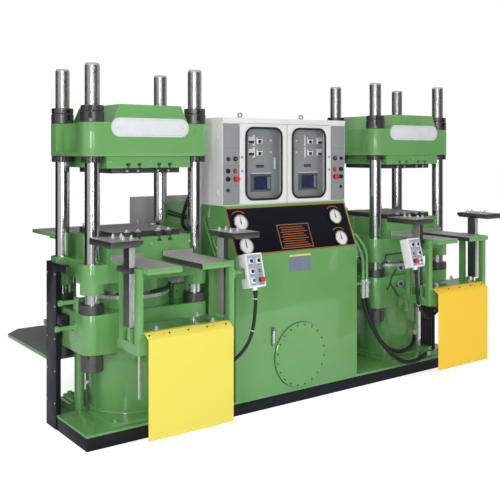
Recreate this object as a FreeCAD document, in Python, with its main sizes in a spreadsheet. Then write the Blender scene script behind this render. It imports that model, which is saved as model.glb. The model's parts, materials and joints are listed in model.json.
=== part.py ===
import FreeCAD, Part
import math
import os
import re
import Sketcher
from FreeCAD import Placement, Rotation, Vector

# Twin-station compression moulding press. Two four-column hydraulic presses stand on one
# base frame, either side of an oil tank with a sloping gauge console and a control cabinet.
# X runs along the machine, Y from the operator to the back, Z up. The origin is on the floor,
# midway between the presses and on the line through their centres. Sizes are millimetres.

# Driving sizes. Each is written once and feeds the sheet that the sub-parts are bound to.
SIZES = {
    # Layout
    "press_pitch": 2360,
    "column_pitch_x": 718,
    "column_pitch_y": 454,
    "seat_gap": 0.3,
    # Base frame and deck
    "plinth_length": 3300,
    "plinth_front": 397,
    "plinth_back": 200,
    "wing_width": 620,
    "wing_back": 380,
    "tank_base_margin": 8,
    "plinth_height": 77,
    "channel_web": 6,
    "channel_flange": 40,
    "flange_thickness": 7,
    "deck_thickness": 16,
    # Press body
    "column_diameter": 90,
    "column_top": 2250,
    "column_chamfer": 9,
    "boss_radius": 72,
    "bed_bottom": 516,
    "bed_height": 237,
    "barrel_radius": 258,
    "barrel_wall": 52,
    "barrel_floor": 40,
    "gland_height": 79,
    "gland_spigot": 41,
    "barrel_chamfer": 8,
    "packing_height": 30,
    "packing_ledge": 20,
    "ledge_clearance": 3,
    "foot_length": 596,
    "foot_width": 740,
    "foot_thickness": 20,
    "ram_radius": 172,
    "stop_ring_height": 56,
    "stop_ring_radius": 73,
    "foot_nut_height": 104,
    "foot_nut_radius": 67,
    "crown_nut_height": 100,
    "crown_nut_radius": 71,
    "collar_height": 39,
    "collar_radius": 68,
    "ram_clearance": 1,
    "nut_engagement": 100,
    # Crown
    "crown_bottom": 1692,
    "crown_height": 205,
    "crown_ledge": 30,
    "crown_recess": 52,
    "hump_height": 110,
    "hump_base": 530,
    "hump_top": 427,
    # Platens and hot plates
    "platen_length": 580,
    "platen_width": 564,
    "bolster_height": 73,
    "plate_length": 474,
    "plate_width": 474,
    "upper_plate_height": 32,
    "lower_plate_height": 35,
    "heater_radius": 8,
    "heater_inset": 25,
    "heater_proud": 6,
    "guide_boss_bottom": 870,
    "guide_boss_height": 64,
    "ear_height": 114,
    "ear_recess": 75,
    "ram_flange_radius": 250,
    "ram_flange_drop": 76,
    "platen_block_height": 145,
    "slot_width": 16,
    "slot_foot_width": 30,
    "slot_depth": 30,
    "slot_foot_height": 13,
    "slot_inner": 69,
    "slot_outer": 145,
    # Front frame with work tables, guards and mould lifts
    "frame_half": 322,
    "post_width": 36,
    "post_depth": 40,
    "frame_front": 735,
    "rear_post_back": 508,
    "frame_bottom": 597,
    "beam_height": 60,
    "side_beam_tail": 23,
    "table_top": 1077,
    "table_thickness": 32,
    "table_front": 787,
    "table_back": 320,
    "table_inner": 67,
    "table_lip": 28,
    "lip_thickness": 8,
    "shelf_top": 717,
    "shelf_thickness": 8,
    "arm_offset": 198,
    "lift_overlap": 24,
    "lift_width": 34,
    "lift_depth": 73,
    "lift_front": 656,
    "lift_bottom": 740,
    "lift_height": 459,
    "pad_thickness": 37,
    "pad_length": 194,
    "pad_width": 280,
    "pad_bevel": 22,
    "guide_height": 33,
    "guide_wall": 7,
    "post_headroom": 3,
    "cradle_wall": 8,
    "cradle_height": 78,
    "lift_cylinder_radius": 28,
    "lift_cylinder_bottom": 482,
    "guide_rod_radius": 9,
    "guide_rod_bottom": 286,
    "guide_rod_inset": 12,
    "guard_thickness": 3,
    "guard_bottom": 137,
    "guard_half": 281,
    "guard_bend": 688,
    "guard_seat": 26,
    "cylinder_offset": 145,
    "cylinder_setback": 58,
    "cylinder_plate_depth": 101,
    "cylinder_plate_thickness": 12,
    "rail_thickness": 6,
    "stop_bolt_radius": 10,
    "cradle_clearance": 4,
    "arm_flange": 8,
    "arm_flange_height": 50,
    "arm_flange_width": 70,
    # Oil tank and console
    "tank_centre": -74,
    "tank_length": 1075,
    "tank_back": 516,
    "tank_wall": 5,
    "console_base": 1037,
    "console_top": 1344,
    "console_setback": 132,
    "panel_thickness": 3,
    "panel_margin": 12,
    "cover_radius": 222,
    "cover_height": 323,
    "cover_thickness": 15,
    "cover_bolts": 20,
    "cover_bolt_ring": 195,
    "bolt_head_radius": 8,
    "bolt_head_height": 5,
    "oil_shelf_height": 610,
    "oil_shelf_thickness": 6,
    "motor_x": 40,
    "motor_y": 60,
    "motor_radius": 105,
    "motor_length": 260,
    "motor_shaft_height": 132,
    "motor_foot_length": 180,
    "motor_foot_width": 190,
    "bell_radius": 80,
    "bell_length": 90,
    "pump_radius": 60,
    "pump_length": 130,
    "suction_radius": 21,
    "strainer_radius": 45,
    "strainer_height": 80,
    "strainer_rise": 60,
    "level_gauge_offset": -237,
    "level_gauge_bottom": 414,
    "level_gauge_height": 124,
    "level_gauge_width": 29,
    "level_gauge_depth": 14,
    "gauge_radius": 57,
    "gauge_depth": 14,
    "gauge_dish": 6,
    "gauge_rim": 6,
    "hub_radius": 3.5,
    "hub_height": 3,
    "needle_thickness": 1.6,
    "needle_tail": 14,
    "needle_half_width": 3.5,
    "needle_half_tip": 1.2,
    "needle_rim_gap": 10,
    "gauge_shift": -16,
    "gauge_spread": 420,
    "gauge_upper": 226,
    "gauge_lower": 62.5,
    # Control cabinet
    "cabinet_centre": -80,
    "cabinet_length": 1092,
    "cabinet_bottom": 1358,
    "cabinet_top": 1948,
    "cabinet_front": 262,
    "cabinet_back": 90,
    "cabinet_wall": 3,
    "canopy_bottom": 1913,
    "canopy_reach": 5,
    "eye_spread": 277,
    "eye_setback": 80,
    "eye_radius": 20,
    "eye_thickness": 9,
    "eye_rise": 6,
    "eye_foot_radius": 16,
    "eye_foot_height": 8,
    "strip_width": 142,
    "strip_margin": 5,
    "strip_thickness": 2,
    "door_bottom": 1364,
    "door_height": 546,
    "door_thickness": 22,
    "door_skin": 3,
    "door_rim": 4,
    "door_gap": 4,
    "hinge_offset": 8,
    "hinge_reach": 3,
    "hinge_radius": 4,
    "hinge_length": 65,
    "hinge_inset": 45,
    "latch_inset": 90,
    "latch_radius": 9,
    "latch_setback": 14,
    "latch_proud": 4,
    "window_width": 306,
    "window_height": 490,
    "window_corner": 60,
    "window_proud": 2,
    "instrument_depth": 63,
    "instrument_thickness": 4,
    "instrument_wall": 12,
    "recess_half": 184,
    "recess_margin": 15,
    # Meters and screens behind the doors, across from the middle of each door
    "left_meter_x": -72,
    "left_controller_x": 1,
    "left_amber_lamp_x": 63,
    "left_white_lamp_x": 101,
    "left_counter_x": 9,
    "left_screen_x": 14,
    "right_meter_x": 142,
    "right_controller_x": 55,
    "right_amber_lamp_x": -10,
    "right_white_lamp_x": -73,
    "right_counter_x": 33,
    "right_screen_x": 36,
    "upper_meter_z": 161,
    "lower_meter_z": 78,
    "meter_size": 48,
    "meter_depth": 10,
    "controller_size": 46,
    "controller_depth": 8,
    "lamp_radius": 9,
    "lamp_depth": 12,
    "counter_width": 64,
    "counter_height": 18,
    "counter_depth": 5,
    "counter_z": -28,
    "screen_width": 173,
    "screen_height": 126,
    "screen_depth": 8,
    "screen_z": -196,
    # Switches
    "switch_offset": 30,
    "selector_height": 313,
    "start_height": 232,
    "stop_height": 178,
    "buzzer_height": 104,
    "bezel_radius": 15,
    "cap_depth": 12,
    "collar_wall": 5,
    "collar_depth": 8,
    "knob_radius": 14,
    "knob_depth": 14,
    "knob_grip": 8,
    "stop_stem_radius": 12,
    "stop_stem_length": 16,
    "stop_head_radius": 20,
    "stop_head_depth": 10,
    "button_travel": 4,
    "start_radius": 11,
    "start_depth": 11,
    # Pendants
    "pendant_width": 125,
    "pendant_height": 205,
    "pendant_depth": 75,
    "pendant_tilt": 15,
    "pendant_front": 757,
    "pendant_foot": 901,
    "pendant_share": 0.85,
    "left_pendant_reach": 419,
    "right_pendant_reach": 394,
    "pendant_arm_radius": 13.5,
    "pendant_arm_height": 988,
    "pendant_arm_setback": 9,
    "pendant_notch_width": 42,
    "pendant_notch_height": 66,
    "pendant_notch_depth": 49,
    "pendant_notch_foot": 60,
    "pendant_switch_offset": 28,
    "pendant_upper": 158,
    "pendant_middle": 96,
    "pendant_lower": 41,
    "face_margin": 6,
    "face_thickness": 2,
    "gland_radius": 15,
    "gland_length": 18,
    "gland_setback": 37,
    # Rear tables, platforms and cover
    "bar_size": 40,
    "rear_clearance": 12,
    "rear_table_half": 378,
    "rear_table_back": 715,
    "rear_table_top": 1183,
    "rear_table_thickness": 24,
    "stay_offset": 250,
    "stay_inset": 40,
    "stay_pad_depth": 6,
    "stay_pad_height": 120,
    "platform_half": 450,
    "platform_front": 220,
    "platform_back": 1130,
    "platform_corner": 115,
    "platform_top": 410,
    "platform_thickness": 25,
    "leg_offset": 180,
    "unit_cover_left": -890,
    "unit_cover_right": 743,
    "unit_cover_bottom": 1190,
    "unit_cover_top": 1390,
    "unit_cover_lip": 40,
    "sheet_thickness": 3,
    # Fittings at the left end
    "duct_back": 208,
    "duct_width": 159,
    "duct_height": 1030,
    "duct_depth": 28,
    "duct_sheet": 4,
    "duct_arm_reach": 149,
    "duct_arm_height": 45,
    "duct_clearance": 11,
    "switch_box_depth": 49,
    "switch_box_width": 80,
    "switch_box_height": 65,
    "switch_box_front": 60,
    "switch_box_drop": 93,
    "stub_radius": 13,
    "stub_pad": 60,
    "stub_pad_thickness": 8,
    "stub_cap": 18,
    "stub_cap_wall": 5,
    "front_stub_y": 143,
    "front_stub_z": 667,
    "front_stub_length": 122,
    "rear_stub_y": 251,
    "rear_stub_z": 632,
    "rear_stub_length": 40,
    "raised_stub_y": 150,
    "raised_stub_z": 820,
    "raised_stub_length": 106,
    "raised_plate_thickness": 6,
    "raised_plate_height": 97,
    "prop_offset": 309,
    "prop_y": 73,
    "prop_radius": 32,
    # Pipes, hoses and cables
    "pipe_radius": 11,
    "pipe_plane": 350,
    "inner_pipe_x": 571,
    "inner_pipe_top": 1060,
    "outer_pipe_x": 609,
    "outer_pipe_top": 1107,
    "pipe_drop": 120,
    "pipe_tail": 34,
    "pipe_bracket_z": 736,
    "bracket_height": 14,
    "bracket_end": 34,
    "fitting_bottom": 669,
    "fitting_length": 100,
    "fitting_radius": 17,
    "hose_radius": 15,
    "cable_radius": 11,
    "hose_lane": 431,
    "elbow_size": 36,
    "port_length": 20,
    "cord_lead": 45,
    "manifold_x": 44,
    "manifold_length": 76,
    "manifold_depth": 66,
    "manifold_height": 60,
    "barrel_elbow_y": 300,
    "barrel_elbow_z": 325,
    "junction_x": 35,
    "junction_length": 70,
    "junction_width": 56,
    "junction_height": 62,
}

# Places worked out from the driving sizes, as formulas.
DERIVED = {
    "column_x": "column_pitch_x / 2",
    "column_y": "column_pitch_y / 2",
    "column_radius": "column_diameter / 2",
    "block_x": "column_x + boss_radius",
    "block_y": "column_y + boss_radius",
    "side_recess": "column_y - boss_radius",
    "barrel_bore": "barrel_radius - barrel_wall",
    "plinth_end": "plinth_length / 2",
    "tank_base_half": "tank_length / 2 + tank_base_margin",
    "tank_base_back": "tank_back + tank_base_margin",
    "deck_top": "plinth_height + deck_thickness",
    "bed_top": "bed_bottom + bed_height",
    "barrel_bottom": "deck_top + foot_thickness",
    "gland_top": "bed_top + gland_height",
    "packing_bottom": "bed_top - gland_spigot - packing_height",
    "ear_bottom": "guide_boss_bottom + guide_boss_height",
    "ear_top": "ear_bottom + ear_height",
    "platen_top": "ear_top + platen_block_height",
    "lower_plate_top": "platen_top + lower_plate_height",
    "crown_top": "crown_bottom + crown_height",
    "bolster_bottom": "crown_bottom - bolster_height",
    "upper_plate_bottom": "bolster_bottom - upper_plate_height",
    "ram_flange_bottom": "ear_bottom - ram_flange_drop",
    "post_inner": "frame_half - post_width",
    "front_post_back": "frame_front - post_depth",
    "rear_post_front": "rear_post_back + post_depth",
    "table_bottom": "table_top - table_thickness",
    "guide_bottom": "table_top - post_headroom - guide_height",
    "beam_top": "frame_bottom + beam_height",
    "lift_x": "frame_half - lift_overlap",
    "lift_centre": "lift_x + lift_width / 2",
    "lift_back": "lift_front - lift_depth",
    "lift_top": "lift_bottom + lift_height",
    "tank_left": "tank_centre - tank_length / 2",
    "tank_right": "tank_centre + tank_length / 2",
    "oil_shelf_top": "oil_shelf_height + oil_shelf_thickness",
    "motor_axis": "oil_shelf_top + motor_shaft_height",
    "console_tilt": "atan2(console_setback; console_top - console_base)",
    "console_slope": "sqrt(console_setback ^ 2 + (console_top - console_base) ^ 2)",
    "gauge_face": "panel_thickness + gauge_depth - gauge_dish",
    "cabinet_left": "cabinet_centre - cabinet_length / 2",
    "door_plane": "cabinet_front - door_thickness",
    "door_top": "door_bottom + door_height",
    "hinge_plane": "cabinet_front + hinge_reach",
    "window_x": "(cabinet_length / 2 - strip_width) / 2",
    "window_z": "door_bottom + door_height / 2",
    "instrument_plane": "cabinet_front - instrument_depth",
    "duct_plane": "max(plinth_end; press_pitch / 2 + block_x + duct_depth + duct_clearance)",
}

WORD = re.compile(r"[A-Za-z_][A-Za-z_0-9]*")
SIDES = ((-1, "left"), (1, "right"))
CORNERS = ((-1, -1), (1, -1), (-1, 1), (1, 1))

document = FreeCAD.newDocument("press")
sheet = document.addObject("Spreadsheet::Sheet", "sizes")
for row, (alias, number) in enumerate(SIZES.items(), start=1):
    sheet.set(f"A{row}", alias)
    sheet.set(f"B{row}", str(number))
    sheet.setAlias(f"B{row}", alias)
document.recompute()


def formula(text):
    """Spell out a formula's words as sheet cells and other formulas."""

    def swap(match):
        word = match.group()
        if word in SIZES:
            return "sizes." + word
        if word in DERIVED:
            return "(" + formula(DERIVED[word]) + ")"
        return word

    return WORD.sub(swap, str(text))


def bind(item, prop, text):
    item.setExpression(prop, formula(text))


def place(item, x="0", y="0", z="0"):
    for axis, text in zip("xyz", (x, y, z)):
        bind(item, "Placement.Base." + axis, text)
    return item


def tilt(item, angle):
    """Turn an item about X by an angle that follows a formula."""
    item.Placement = Placement(item.Placement.Base, Rotation(Vector(1, 0, 0), 10))
    bind(item, "Placement.Rotation.Angle", angle)
    return item


# Simple solids and the ways to combine them


def box(label, corner, size):
    item = document.addObject("Part::Box", label)
    for prop, text in zip(("Length", "Width", "Height"), size):
        bind(item, prop, text)
    return place(item, *corner)


def rod(label, foot, radius, length, along="z"):
    item = document.addObject("Part::Cylinder", label)
    turn = {"z": Rotation(), "x": Rotation(Vector(0, 1, 0), 90), "y": Rotation(Vector(1, 0, 0), -90)}
    item.Placement = Placement(Vector(), turn[along])
    bind(item, "Radius", radius)
    bind(item, "Height", length)
    return place(item, *foot)


def cone(label, foot, lower, upper, height):
    item = document.addObject("Part::Cone", label)
    bind(item, "Radius1", lower)
    bind(item, "Radius2", upper)
    bind(item, "Height", height)
    return place(item, *foot)


def cut(label, base, tool):
    item = document.addObject("Part::Cut", label)
    item.Base = base
    item.Tool = tool
    return item


def fuse(label, parts):
    item = document.addObject("Part::MultiFuse", label)
    item.Shapes = parts
    item.Refine = True
    return item


def group(label, parts):
    """Keep several separate solids together in one sub-part."""
    item = document.addObject("Part::Compound", label)
    item.Links = parts
    return item


def ring(label, foot, outer, inner, height):
    solid = rod(label + "_outside", foot, outer, height)
    bore = rod(label + "_bore", foot, inner, height)
    return cut(label, solid, bore)


# Sketched bodies


def new_body(label, x="0"):
    body = document.addObject("PartDesign::Body", label)
    return place(body, x)


def new_sketch(body, plane, offset="0"):
    sketch = body.newObject("Sketcher::SketchObject", body.Name + "_sketch")
    support = [item for item in body.Origin.OriginFeatures if item.Role == plane][0]
    sketch.AttachmentSupport = (support, [""])
    sketch.MapMode = "FlatFace"
    bind(sketch, "AttachmentOffset.Base.z", offset)
    return sketch


def pin_point(sketch, geometry, vertex, x, y):
    """Hold a vertex at formulas for its two coordinates."""
    for kind, text in (("DistanceX", x), ("DistanceY", y)):
        index = sketch.addConstraint(Sketcher.Constraint(kind, -1, 1, geometry, vertex, 1.0))
        bind(sketch, f"Constraints[{index}]", text)


def polygon(sketch, points):
    count = len(points)
    first = sketch.GeometryCount
    spots = [Vector(100 * math.cos(2 * math.pi * k / count), 100 * math.sin(2 * math.pi * k / count), 0)
             for k in range(count)]
    for k in range(count):
        sketch.addGeometry(Part.LineSegment(spots[k], spots[(k + 1) % count]), False)
    for k in range(count):
        sketch.addConstraint(Sketcher.Constraint("Coincident", first + k, 2, first + (k + 1) % count, 1))
    for k, (x, y) in enumerate(points):
        pin_point(sketch, first + k, 1, x, y)


def rectangle(sketch, low_x, low_y, high_x, high_y):
    polygon(sketch, [(low_x, low_y), (high_x, low_y), (high_x, high_y), (low_x, high_y)])


def circle(sketch, x, y, radius):
    index = sketch.addGeometry(Part.Circle(Vector(50, 50, 0), Vector(0, 0, 1), 20), False)
    pin_point(sketch, index, 3, x, y)
    size = sketch.addConstraint(Sketcher.Constraint("Radius", index, 20.0))
    bind(sketch, f"Constraints[{size}]", radius)


def feature(body, kind, sketch, length, reverse=False, middle=False):
    item = body.newObject("PartDesign::" + kind, body.Name + "_" + kind.lower())
    item.Profile = sketch
    bind(item, "Length", length)
    item.Reversed = reverse
    if middle:
        item.SideType = "Symmetric"
    return item


def upright_edges(item, clear):
    """Names of the straight edges along Z that stand further than a distance from the middle in Y."""
    names = []
    for number, edge in enumerate(item.Shape.Edges, start=1):
        limits = edge.BoundBox
        upright = limits.ZLength > 1 and limits.XLength + limits.YLength < 0.001
        if upright and abs(limits.YMin) > clear:
            names.append(f"Edge{number}")
    return names


def round_edges(body, item, names, radius):
    fillet = body.newObject("PartDesign::Fillet", body.Name + "_fillet")
    fillet.Base = (item, names)
    bind(fillet, "Radius", radius)
    return fillet


def press_x(side):
    return f"{side} * press_pitch / 2"


def shifted(side, offset):
    return f"{side} * press_pitch / 2 + {offset}"


# Base frame of inward-facing channels, with a bay between each pair of cross members


def base_outline():
    """Front rectangle with a wing behind each press and one behind the tank."""
    points = [("-plinth_end", "-plinth_front"), ("plinth_end", "-plinth_front"),
              ("plinth_end", "plinth_back")]
    for middle, half, back in ((press_x(1), "wing_width / 2", "wing_back"),
                               ("tank_centre", "tank_base_half", "tank_base_back"),
                               (press_x(-1), "wing_width / 2", "wing_back")):
        points += [(f"{middle} + {half}", "plinth_back"), (f"{middle} + {half}", back),
                   (f"{middle} - {half}", back), (f"{middle} - {half}", "plinth_back")]
    return points + [("-plinth_end", "plinth_back")]


def channel_bay(name, left, front, right, back):
    """Opening between channels: narrower at the flanges, wider at the webs."""
    mouth = box("mouth_" + name, (f"{left} + channel_flange", f"{front} + channel_flange", "-1"),
                (f"{right} - ({left}) - 2 * channel_flange", f"{back} - ({front}) - 2 * channel_flange",
                 "plinth_height + 2"))
    hollow = box("hollow_" + name, (f"{left} + channel_web", f"{front} + channel_web", "flange_thickness"),
                 (f"{right} - ({left}) - 2 * channel_web", f"{back} - ({front}) - 2 * channel_web",
                  "plinth_height - 2 * flange_thickness"))
    return [mouth, hollow]


def make_plinth():
    body = new_body("plinth_frame")
    sketch = new_sketch(body, "XY_Plane")
    polygon(sketch, base_outline())
    feature(body, "Pad", sketch, "plinth_height")
    holes = []
    for bay in range(5):
        holes += channel_bay(f"front_{bay}", f"plinth_length * {bay} / 5 - plinth_end", "-plinth_front",
                             f"plinth_length * {bay + 1} / 5 - plinth_end", "plinth_back")
    for side, word in SIDES:
        holes += channel_bay(word + "_wing", f"{press_x(side)} - wing_width / 2", "plinth_back",
                             f"{press_x(side)} + wing_width / 2", "wing_back")
    holes += channel_bay("tank_wing", "tank_centre - tank_base_half", "plinth_back",
                         "tank_centre + tank_base_half", "tank_base_back")
    deck_body = new_body("deck_plate")
    deck_sketch = new_sketch(deck_body, "XY_Plane", "plinth_height")
    polygon(deck_sketch, base_outline())
    feature(deck_body, "Pad", deck_sketch, "deck_thickness")
    return [cut("plinth", body, fuse("bays", holes)), deck_body]


# Press bodies


def column_holes(sketch, radius):
    for dx, dy in CORNERS:
        circle(sketch, f"{dx} * column_x", f"{dy} * column_y", radius)


def make_bed(side, word):
    body = new_body(word + "_bed", press_x(side))
    sketch = new_sketch(body, "XY_Plane", "bed_bottom")
    rectangle(sketch, "-block_x", "-block_y", "block_x", "block_y")
    block = feature(body, "Pad", sketch, "bed_height")
    document.recompute()
    round_edges(body, block, upright_edges(block, 0), "boss_radius")
    holes = new_sketch(body, "XY_Plane", "bed_bottom")
    column_holes(holes, "column_radius")
    circle(holes, "0", "0", "barrel_radius")
    feature(body, "Pocket", holes, "bed_height", reverse=True)
    return body


def revolved(label, x, points):
    """Solid turned about the upright axis at x from a profile of radius and height."""
    body = new_body(label, x)
    sketch = new_sketch(body, "XZ_Plane")
    polygon(sketch, points)
    turned = body.newObject("PartDesign::Revolution", body.Name + "_turned")
    turned.Profile = sketch
    turned.ReferenceAxis = (sketch, ["V_Axis"])
    turned.Angle = 360
    return body


def make_barrel(side, word):
    """Cylinder barrel, the ring of packing on its ledge, the gland that holds it down and the foot."""
    x = press_x(side)
    land = "ram_radius + ledge_clearance"
    barrel = revolved(word + "_barrel", x, [
        ("0", "barrel_bottom"), ("barrel_radius", "barrel_bottom"), ("barrel_radius", "bed_top"),
        ("barrel_bore", "bed_top"), ("barrel_bore", "packing_bottom"), (land, "packing_bottom"),
        (land, "packing_bottom - packing_ledge"), ("barrel_bore", "packing_bottom - packing_ledge"),
        ("barrel_bore", "barrel_bottom + barrel_floor"), ("0", "barrel_bottom + barrel_floor"),
    ])
    bore = "ram_radius + seat_gap"
    spigot = "barrel_bore - seat_gap"
    gland = revolved(word + "_gland", x, [
        (bore, "gland_top"), ("barrel_radius - barrel_chamfer", "gland_top"),
        ("barrel_radius", "gland_top - barrel_chamfer"), ("barrel_radius", "bed_top"),
        (spigot, "bed_top"), (spigot, "bed_top - gland_spigot"), (bore, "bed_top - gland_spigot"),
    ])
    packing = revolved(word + "_ram_packing", x, [
        (bore, "packing_bottom"), (spigot, "packing_bottom"), (spigot, "packing_bottom + packing_height"),
        (bore, "packing_bottom + packing_height"),
    ])
    foot = box(word + "_foot", (shifted(side, "-foot_length / 2"), "-foot_width / 2", "deck_top"),
               ("foot_length", "foot_width", "foot_thickness"))
    return [barrel, gland, packing, foot]


def waisted_outline(sketch, recess):
    """Block outline with a shallow recess between the column bosses at both ends."""
    waist = f"(block_x - {recess})"
    polygon(sketch, [
        ("-block_x", "-block_y"), ("block_x", "-block_y"), ("block_x", "-side_recess"),
        (waist, "-side_recess"), (waist, "side_recess"), ("block_x", "side_recess"),
        ("block_x", "block_y"), ("-block_x", "block_y"), ("-block_x", "side_recess"),
        (f"-{waist}", "side_recess"), (f"-{waist}", "-side_recess"), ("-block_x", "-side_recess"),
    ])


def make_crown(side, word):
    body = new_body(word + "_crown", press_x(side))
    ledge = new_sketch(body, "XY_Plane", "crown_bottom")
    rectangle(ledge, "-block_x", "-block_y", "block_x", "block_y")
    feature(body, "Pad", ledge, "crown_ledge")
    upper = new_sketch(body, "XY_Plane", "crown_bottom + crown_ledge")
    waisted_outline(upper, "crown_recess")
    block = feature(body, "Pad", upper, "crown_height - crown_ledge")
    document.recompute()
    round_edges(body, block, upright_edges(block, SIZES["column_pitch_y"] / 2), "boss_radius")
    hump = new_sketch(body, "XZ_Plane")
    peak = "crown_top + hump_height"
    polygon(hump, [("-hump_base / 2", "crown_top"), ("hump_base / 2", "crown_top"),
                   ("hump_top / 2", peak), ("-hump_top / 2", peak)])
    feature(body, "Pad", hump, "2 * block_y", middle=True)
    holes = new_sketch(body, "XY_Plane", "crown_bottom")
    column_holes(holes, "column_radius")
    feature(body, "Pocket", holes, "crown_height", reverse=True)
    return body


def slot_outline(sketch, centre, mouth, inward):
    """A T-slot across the face at height mouth, running into the plate."""
    half = "slot_width / 2"
    foot = "slot_foot_width / 2"
    neck = f"{mouth} {inward} (slot_depth - slot_foot_height)"
    floor = f"{mouth} {inward} slot_depth"
    polygon(sketch, [
        (f"{centre} - {half}", mouth), (f"{centre} + {half}", mouth), (f"{centre} + {half}", neck),
        (f"{centre} + {foot}", neck), (f"{centre} + {foot}", floor), (f"{centre} - {foot}", floor),
        (f"{centre} - {foot}", neck), (f"{centre} - {half}", neck),
    ])


def cut_slots(body, mouth, inward):
    sketch = new_sketch(body, "XZ_Plane")
    for centre in ("-slot_outer", "-slot_inner", "slot_inner", "slot_outer"):
        slot_outline(sketch, centre, mouth, inward)
    feature(body, "Pocket", sketch, "platen_width + 2", middle=True)


def make_bolster(side, word):
    body = new_body(word + "_bolster", press_x(side))
    sketch = new_sketch(body, "XY_Plane", "bolster_bottom")
    rectangle(sketch, "-platen_length / 2", "-platen_width / 2", "platen_length / 2", "platen_width / 2")
    feature(body, "Pad", sketch, "bolster_height")
    cut_slots(body, "bolster_bottom", "+")
    return body


def make_platen(side, word):
    body = new_body(word + "_platen", press_x(side))
    ears = new_sketch(body, "XY_Plane", "ear_bottom")
    waisted_outline(ears, "ear_recess")
    plate = feature(body, "Pad", ears, "ear_height")
    document.recompute()
    round_edges(body, plate, upright_edges(plate, SIZES["column_pitch_y"] / 2), "boss_radius")
    bosses = new_sketch(body, "XY_Plane", "guide_boss_bottom")
    column_holes(bosses, "boss_radius")
    feature(body, "Pad", bosses, "guide_boss_height + 1")
    flange = new_sketch(body, "XY_Plane", "ram_flange_bottom")
    circle(flange, "0", "0", "ram_flange_radius")
    feature(body, "Pad", flange, "ram_flange_drop + 1")
    block = new_sketch(body, "XY_Plane", "ear_top")
    rectangle(block, "-platen_length / 2", "-platen_width / 2", "platen_length / 2", "platen_width / 2")
    feature(body, "Pad", block, "platen_block_height")
    holes = new_sketch(body, "XY_Plane", "guide_boss_bottom")
    column_holes(holes, "column_radius + seat_gap")
    feature(body, "Pocket", holes, "guide_boss_height + ear_height", reverse=True)
    cut_slots(body, "platen_top", "-")
    return body


def make_column(side, word, number):
    dx, dy = CORNERS[number]
    x = shifted(side, f"{dx} * column_x")
    y = f"{dy} * column_y"
    bottom = "bed_bottom - nut_engagement"
    name = f"{word}_column_{number}"
    shaft = rod(name + "_shaft", (x, y, bottom), "column_radius",
                f"column_top - column_chamfer - ({bottom})")
    tip = cone(name + "_tip", (x, y, "column_top - column_chamfer"), "column_radius",
               "column_radius - column_chamfer", "column_chamfer")
    return fuse(name, [shaft, tip])


def make_column_rings(side, word, number):
    """Crown nut, collar under the crown, stop ring on the bed and nut under the bed."""
    dx, dy = CORNERS[number]
    x = shifted(side, f"{dx} * column_x")
    y = f"{dy} * column_y"
    tag = f"{word}_{number}"
    return [
        ring("crown_nut_" + tag, (x, y, "crown_top"), "crown_nut_radius", "column_radius",
             "crown_nut_height"),
        ring("collar_" + tag, (x, y, "crown_bottom - collar_height"), "collar_radius", "column_radius",
             "collar_height"),
        ring("stop_ring_" + tag, (x, y, "bed_top"), "stop_ring_radius", "column_radius",
             "stop_ring_height"),
        ring("foot_nut_" + tag, (x, y, "bed_bottom - foot_nut_height"), "foot_nut_radius", "column_radius",
             "foot_nut_height"),
    ]


# Front frame, work tables, guard and mould lifts of one press


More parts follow.
